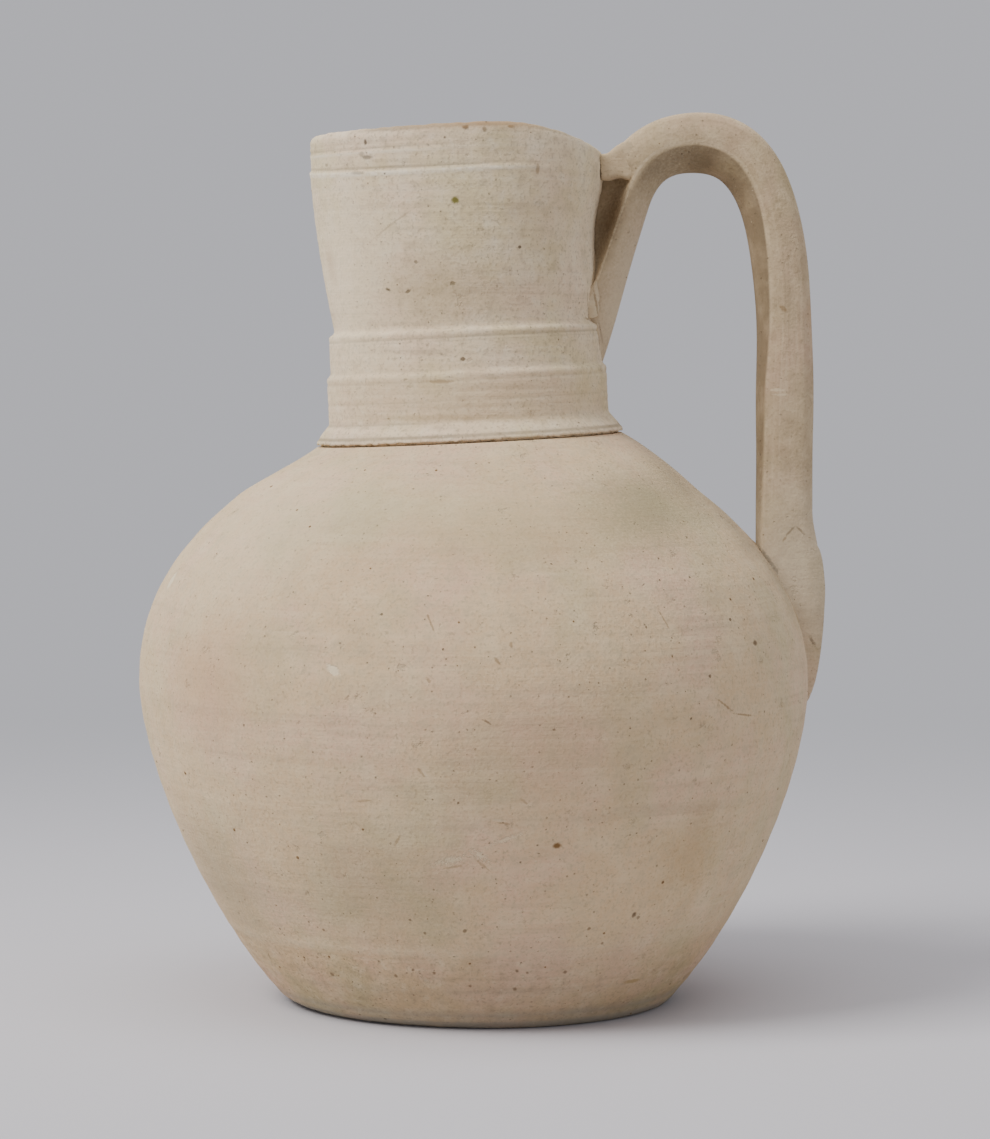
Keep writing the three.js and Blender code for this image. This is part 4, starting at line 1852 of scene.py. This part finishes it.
# Thrown body: matt buff clay, clouded by the fire, with grey dust at its foot.
BODY_CLAY = Clay("thrown_body_earthenware", dust_and_shade="979389", soil_and_shade=0.8)
# Thrown neck: paler and cleaner than the body, with fewer streaks.
NECK_CLAY = Clay(
    "thrown_neck_earthenware", base="ebd7b5", pink="edd5b6", olive="e3d1a7", pale="f4e8d0",
    streak_share=0.24, speck=0.75)
# Luting slip: wiped along a joint, so a little duller than the pieces it holds.
SLIP_CLAY = Clay(
    "luting_slip_earthenware", base="c9b08b", pink="ccb18e", olive="c1ae85", pale="d8c6a4")
# Slip in the open seam: dark with old dirt.
SEAM_CLAY = Clay("dirty_slip_earthenware", base="75623f", pink="78633f", olive="6c603c")
# Pulled strap: streaks along the pull, and its inner faces painted dark with the dust tint as the
# shade that the neck casts on them.
STRAP_CLAY = Clay(
    "pulled_strap_earthenware", pulled=True, base="c3ad8b", pink="caae90", olive="bfab83",
    dirt="8c7859", dust_and_shade="806d52", soil_and_shade=0.9, speck=0.6)
# Pressed wads: the strap's clay, smeared by the thumb.
WAD_CLAY = Clay(
    "pressed_wad_earthenware", base="c3ad8b", pink="caae90", olive="bfab83", speck=0.6)

PIT, SCRATCH, CHIP, SCAR, SPOT, STAIN_AND_PAINTED_LIGHT = Trace
SOOT, DARK, BROWN, RUST, OLIVE = "4d3d29", "6a543a", "8d6f49", "6b3f28", "7d7636"
WHITE, FLAKE = "ecdcbc", "e6d5b4"

# Marks on the handle's side, each with how far towards the handle it lies.
PALE_FOOT = (65.0, Mark(STAIN_AND_PAINTED_LIGHT, 90.0, 0.0, 22.0, 36.0, "e2d2b7", 0.5))
CREASE = (
    (64.5, Mark(SCRATCH, 97.9, 0.0, 2.6, 0.5, DARK, 0.5, -46)),
    (63.2, Mark(SCRATCH, 96.2, 0.0, 1.6, 0.5, BROWN, 0.5, -60)),
    (66.6, Mark(SCRATCH, 98.0, 0.0, 2.8, 0.5, DARK, 0.5, 42)),
    (69.2, Mark(SCRATCH, 96.1, 0.0, 2.6, 0.45, BROWN, 0.5, 32)))
STRAP_MARKS = (
    (25.4, Mark(SCRATCH, 138.5, 0.0, 6.0, 0.5, RUST, 0.7, 78)),
    (26.4, Mark(SPOT, 135.0, 0.0, 1.6, 1.4, DARK, 0.85)),
    # Painted light: a pale patch that lightens the neck's shadow over the strap's root.
    (31.5, Mark(STAIN_AND_PAINTED_LIGHT, 148.0, 0.0, 54.0, 13.0, "ead9bc", 0.6, -72)),
    # Painted shade: a dark patch filling the crevice between the strap and the neck, under the
    # saddle.
    (27.6, Mark(STAIN_AND_PAINTED_LIGHT, 162.5, 0.0, 24.0, 4.6, "614a2d", 0.85, -72)),
    (62.8, Mark(SPOT, 143.7, 0.0, 2.2, 1.0, BROWN, 0.6, 40)),
    (51.8, Mark(SPOT, 172.4, 0.0, 1.4, 0.9, DARK, 0.7)),
    (61.6, Mark(SCRATCH, 127.0, 0.0, 3.0, 0.6, FLAKE, 0.6)),
    (62.4, Mark(SCRATCH, 126.0, 0.0, 3.0, 0.5, FLAKE, 0.5)),
    (69.0, Mark(STAIN_AND_PAINTED_LIGHT, 142.7, 0.0, 2.4, 9.0, "b07f50", 0.3)),
    (60.2, Mark(SCRATCH, 91.6, 0.0, 10.0, 0.9, SOOT, 0.85, 54)), PALE_FOOT, *CREASE)
WAD_MARKS = (
    (69.3, Mark(SCRATCH, 74.9, 0.0, 3.2, 0.8, DARK, 0.8, 62)), PALE_FOOT,
    (23.6, Mark(STAIN_AND_PAINTED_LIGHT, 144.0, 0.0, 6.0, 11.0, "e6d6b6", 0.7)),
    (22.4, Mark(SCRATCH, 144.4, 0.0, 6.5, 0.6, DARK, 0.6, 84)),
    (24.2, Mark(SCRATCH, 145.2, 0.0, 6.0, 0.5, BROWN, 0.6, 80)),
    (25.0, Mark(SCRATCH, 172.6, 0.0, 7.0, 0.7, SOOT, 0.8, 84)), *CREASE)
# Marks on the walls. One that comes later in its row lies over those before it.
BODY_MARKS = (
    Mark(CHIP, 73.9, -22.7, 3.6, 1.7, WHITE, 0.8, 30),
    Mark(CHIP, 88.4, -73.7, 3.0, 4.0, WHITE, 0.7),
    Mark(SCRATCH, 65.9, 45.2, 5.0, 0.5, BROWN, 0.6, 30),
    Mark(SCRATCH, 63.4, 50.5, 6.5, 0.45, BROWN, 0.6, 8),
    Mark(SCRATCH, 82.9, 34.4, 4.6, 0.4, BROWN, 0.5, 66),
    Mark(SCRATCH, 83.1, -6.6, 3.8, 0.4, BROWN, 0.5, 65),
    Mark(SPOT, 77.2, 55.4, 1.5, 1.2, DARK), Mark(SCRATCH, 64.5, 2.3, 1.8, 0.5, DARK, 0.8, 30),
    Mark(SPOT, 39.7, 14.5, 1.8, 1.2, "7a5524", 0.9), Mark(SPOT, 24.1, 33.5, 1.1, 1.3, DARK),
    Mark(SPOT, 23.4, 34.8, 0.9, 0.9, DARK, 0.6), Mark(SCAR, 37.0, -4.2, 6.0, 1.4, FLAKE, 0.6, -12),
    Mark(SCAR, 38.0, 0.8, 4.6, 1.4, FLAKE, 0.6, 30),
    Mark(SCAR, 41.4, 5.9, 6.0, 1.0, FLAKE, 0.5, -20),
    Mark(SCRATCH, 44.5, 5.0, 2.6, 0.5, BROWN, 0.45, 8),
    Mark(SCRATCH, 45.0, 4.4, 2.8, 0.5, FLAKE, 0.45, 8),
    Mark(SCRATCH, 54.6, -8.4, 2.4, 0.7, BROWN, 0.45, 48),
    Mark(SCRATCH, 54.2, -7.8, 2.0, 0.5, FLAKE, 0.5, 48),
    Mark(SCRATCH, 48.8, 8.4, 2.6, 0.5, BROWN, 0.4, 42),
    Mark(SCRATCH, 48.6, -18.6, 3.4, 0.4, BROWN, 0.4, -6),
    Mark(SCRATCH, 76.0, 4.2, 1.4, 0.7, BROWN, 0.6, 55),
    Mark(SCRATCH, 72.4, -6.8, 1.3, 0.7, BROWN, 0.5, 35),
    Mark(SCRATCH, 79.0, 6.5, 1.3, 0.6, BROWN, 0.55, 80),
    Mark(SCRATCH, 40.6, -13.6, 2.6, 0.6, BROWN, 0.5, -60),
    Mark(SPOT, 9.0, 41.1, 4.5, 1.0, "a8894c", 0.8),
    # Painted shade: dark strips along the right shoulder's edge, which turns away from the light.
    Mark(STAIN_AND_PAINTED_LIGHT, 107.0, 70.0, 26.0, 14.0, "8d7f64", 0.5, -35),
    Mark(STAIN_AND_PAINTED_LIGHT, 99.0, 76.0, 22.0, 10.0, "93846a", 0.45, -35),
    Mark(STAIN_AND_PAINTED_LIGHT, 35.7, 43.2, 16.0, 22.0, "a8874c", 0.28),
    Mark(STAIN_AND_PAINTED_LIGHT, 100.0, 16.0, 64.0, 13.0, "b79d74", 0.38, -4),
    Mark(PIT, 71.7, 42.1, 0.8, 0.8, DARK), Mark(PIT, 82.1, 49.9, 0.7, 0.7, DARK),
    Mark(SCRATCH, 35.6, -3.8, 4.5, 0.5, BROWN, 0.4, -10),
    Mark(SCRATCH, 36.0, 1.4, 4.0, 0.5, BROWN, 0.4, 40),
    Mark(STAIN_AND_PAINTED_LIGHT, 30.0, -20.0, 40.0, 22.0, "ab9b78", 0.45),
    Mark(STAIN_AND_PAINTED_LIGHT, 104.0, -8.0, 66.0, 12.0, "d2c39b", 0.35),
    Mark(STAIN_AND_PAINTED_LIGHT, 28.0, -62.0, 40.0, 30.0, "a8977a", 0.6),
    # Painted shade in a greyish olive: the neck's shadow over the right shoulder.
    Mark(STAIN_AND_PAINTED_LIGHT, 104.0, 46.0, 34.0, 16.0, "a39672", 0.8, -12),
    Mark(STAIN_AND_PAINTED_LIGHT, 70.0, -48.0, 30.0, 26.0, "cda684", 0.5),
    Mark(STAIN_AND_PAINTED_LIGHT, 60.0, 10.0, 42.0, 26.0, "c9a784", 0.35),
    # Painted shade: the body beside the strap's foot, darkened as contact shade.
    Mark(STAIN_AND_PAINTED_LIGHT, 90.0, 80.0, 14.0, 24.0, "93846a", 0.45),
    Mark(STAIN_AND_PAINTED_LIGHT, 98.0, -50.0, 40.0, 34.0, "e8d6b4", 0.35),
    *(Mark(STAIN_AND_PAINTED_LIGHT, 3.0, turn, 66.0, 26.0, "857b69", 0.15) for turn in (-52.0, -8.0, 36.0)),
    *(Mark(STAIN_AND_PAINTED_LIGHT, 12.0, turn, 50.0, 24.0, "aea18b", 0.22) for turn in (4.0, 36.0)),
    *(Mark(SPOT, height, turn, 0.8 * size, 0.8 * size, DARK, 0.65) for height, turn, size in (
        (11.0, -36.6, 1.3), (11.9, -19.0, 1.0), (13.4, -14.5, 0.8), (12.9, -9.7, 0.9),
        (10.1, -1.6, 0.9), (9.3, 9.1, 1.1), (13.4, 9.1, 1.0), (12.9, 11.5, 0.8), (12.7, 20.5, 1.1),
        (18.5, 27.7, 0.8), (21.9, 23.6, 1.0), (22.2, -2.3, 1.1), (21.6, -10.5, 0.8),
        (20.9, -33.5, 0.9), (24.3, -13.2, 0.8))))
NECK_MARKS = (
    Mark(SPOT, 165.1, -0.7, 1.7, 1.5, OLIVE, 0.95), Mark(SPOT, 177.7, -36.5, 0.9, 1.3, SOOT, 0.8),
    Mark(SPOT, 174.7, -36.0, 2.8, 0.9, SOOT, 0.6), Mark(SPOT, 175.4, -38.5, 1.6, 1.2, DARK, 0.4),
    Mark(SPOT, 174.0, -61.0, 1.5, 0.8, DARK, 0.5), Mark(SPOT, 171.7, -40.5, 4.0, 0.7, DARK, 0.45),
    Mark(SPOT, 179.4, 4.8, 1.4, 1.1, DARK, 0.8), Mark(SPOT, 178.8, 11.9, 1.0, 1.2, DARK, 0.6),
    Mark(SPOT, 179.2, 22.6, 1.6, 0.8, BROWN, 0.7),
    Mark(SCRATCH, 160.9, -27.1, 13.0, 0.4, BROWN, 0.3, -32),
    Mark(PIT, 148.0, -31.6, 1.3, 0.7, SOOT, 0.9, 20),
    Mark(PIT, 147.5, -22.4, 1.2, 0.7, SOOT, 0.8, -30),
    Mark(PIT, 148.5, -3.3, 1.0, 0.9, SOOT, 0.7), Mark(PIT, 155.2, 24.7, 0.8, 0.7, SOOT),
    Mark(PIT, 153.2, -17.8, 0.8, 0.7, SOOT, 0.6),
    Mark(STAIN_AND_PAINTED_LIGHT, 153.8, -66.4, 5.0, 9.0, "a8754f", 0.5),
    Mark(PIT, 133.4, -0.7, 1.1, 0.7, DARK), Mark(SPOT, 129.1, -10.2, 5.5, 0.9, BROWN, 0.6),
    Mark(SPOT, 170.6, 33.0, 1.0, 2.4, BROWN, 0.5),
    Mark(STAIN_AND_PAINTED_LIGHT, 180.4, 10.0, 46.0, 3.0, "b28a5c", 0.6),
    Mark(SCRATCH, 137.0, 78.0, 6.0, 0.7, RUST, 0.65, 84),
    Mark(STAIN_AND_PAINTED_LIGHT, 121.6, 0.0, 70.0, 1.6, "a3884f", 0.32),
    Mark(STAIN_AND_PAINTED_LIGHT, 148.0, -10.0, 30.0, 16.0, "b8a276", 0.4),
    Mark(STAIN_AND_PAINTED_LIGHT, 158.0, 40.0, 20.0, 26.0, "c5a982", 0.15),
    Mark(STAIN_AND_PAINTED_LIGHT, 126.0, 8.0, 84.0, 12.0, "d0b68b", 0.35),
    # Painted light: a pale patch that brightens the lit left side of the neck.
    Mark(STAIN_AND_PAINTED_LIGHT, 152.0, -58.0, 26.0, 36.0, "f8e6c6", 0.6),
    Mark(SCRATCH, 143.6, 68.6, 6.0, 0.45, BROWN, 0.45, 80),
    Mark(SCRATCH, 140.3, 70.0, 3.0, 0.5, BROWN, 0.6, 8))

RIM_SADDLE_AT = (28.0, 0.0, 173.0)
RIM_SADDLE = ClayWad("rim_saddle", "rim_wad", (
    (6.0, 0.0), (5.6, 2.8), (3.6, 5.4), (1.9, 5.0), (0.3, 4.0), (-1.4, 2.5), (-4.2, 2.4),
    (-4.4, -2.8), (-1.0, -3.0), (1.4, -2.4), (3.4, -3.2), (4.8, -2.6)),
    depth=14.4, seed=41, fullness=9.0, uneven=0.1)
ROOT_LUMP_HEIGHT = 143.8
ROOT_LUMP = ClayWad("root_lump", "root_wad", (
    (1.6, 0.6), (1.2, 4.8), (0.2, 3.4), (-0.8, 1.4), (-1.7, -0.8), (-1.5, -3.0), (0.2, -3.5),
    (1.5, -2.8)), depth=3.0, seed=42, fullness=3.0, uneven=0.4)
FOOT_WAD_HEIGHT = 83.2
FOOT_WAD = ClayWad("foot_wad", "shoulder_wad", (
    (8.3, 0.0), (8.4, 3.0), (7.8, 8.6), (7.2, 11.6), (6.7, 12.7), (5.6, 13.6), (3.8, 14.9),
    (1.9, 16.6), (1.5, 17.2), (1.1, 16.6), (-0.4, 14.8), (-1.4, 13.0), (-2.6, 9.2), (-3.6, 3.0),
    (-3.0, -5.0), (-1.0, -12.0), (0.5, -20.0), (3.0, -24.6), (5.0, -23.4), (6.5, -17.9),
    (7.4, -11.1), (8.0, -5.5)),
    depth=16.3, seed=43, fullness=14.0, uneven=0.05, taper=0.97, fold=5.0, smoothing=3)


def main() -> None:
    """Build the ewer and its studio."""
    logging.basicConfig(level=logging.INFO, format="%(name)s: %(message)s")
    shop = Workshop(WheelRecipe(), GritRecipe(), Grit().material(), Posture())
    body, neck, strap = ThrownBody(), ThrownNeck(), PulledStrap()
    body_wall = Wall(body.outer(shop.posture.seat), shop.posture)
    neck_wall = Wall(neck.outer(), shop.posture, neck.press)
    body.build(shop, BODY_CLAY.material(body_wall.placed(BODY_MARKS)))
    neck.build(shop, NECK_CLAY.material(neck_wall.placed(NECK_MARKS)))
    slip = SLIP_CLAY.material()
    SeamSlip().build(shop, SEAM_CLAY.material())
    SlipPatch("root_smear", "root_slip", 129.5, 158.0, seed=51).build(neck_wall, slip)
    SlipPatch("shoulder_smear", "shoulder_slip", 66.0, 100.0, seed=52).build(body_wall, slip)
    face = -strap.width / 2
    on_strap, on_wads = (
        [(mark, np.array([x, face, mark.height])) for x, mark in marks]
        for marks in (STRAP_MARKS, WAD_MARKS))
    strap.build(shop, neck_wall, body_wall, STRAP_CLAY.material(on_strap))
    pressed = WAD_CLAY.material(on_wads)
    RIM_SADDLE.build(shop, np.array(RIM_SADDLE_AT), neck_wall, pressed)
    ROOT_LUMP.build(shop, neck_wall.point(ROOT_LUMP_HEIGHT, side=face), neck_wall, pressed)
    FOOT_WAD.build(
        shop, np.array([strap.leg, 0.0, FOOT_WAD_HEIGHT]), body_wall, pressed,
        strap.heeled(strap.section(strap.arris[-1], 0.0, strap.soft[-1]), strap.heel))
    Studio().build()


if __name__ == "__main__":
    main()
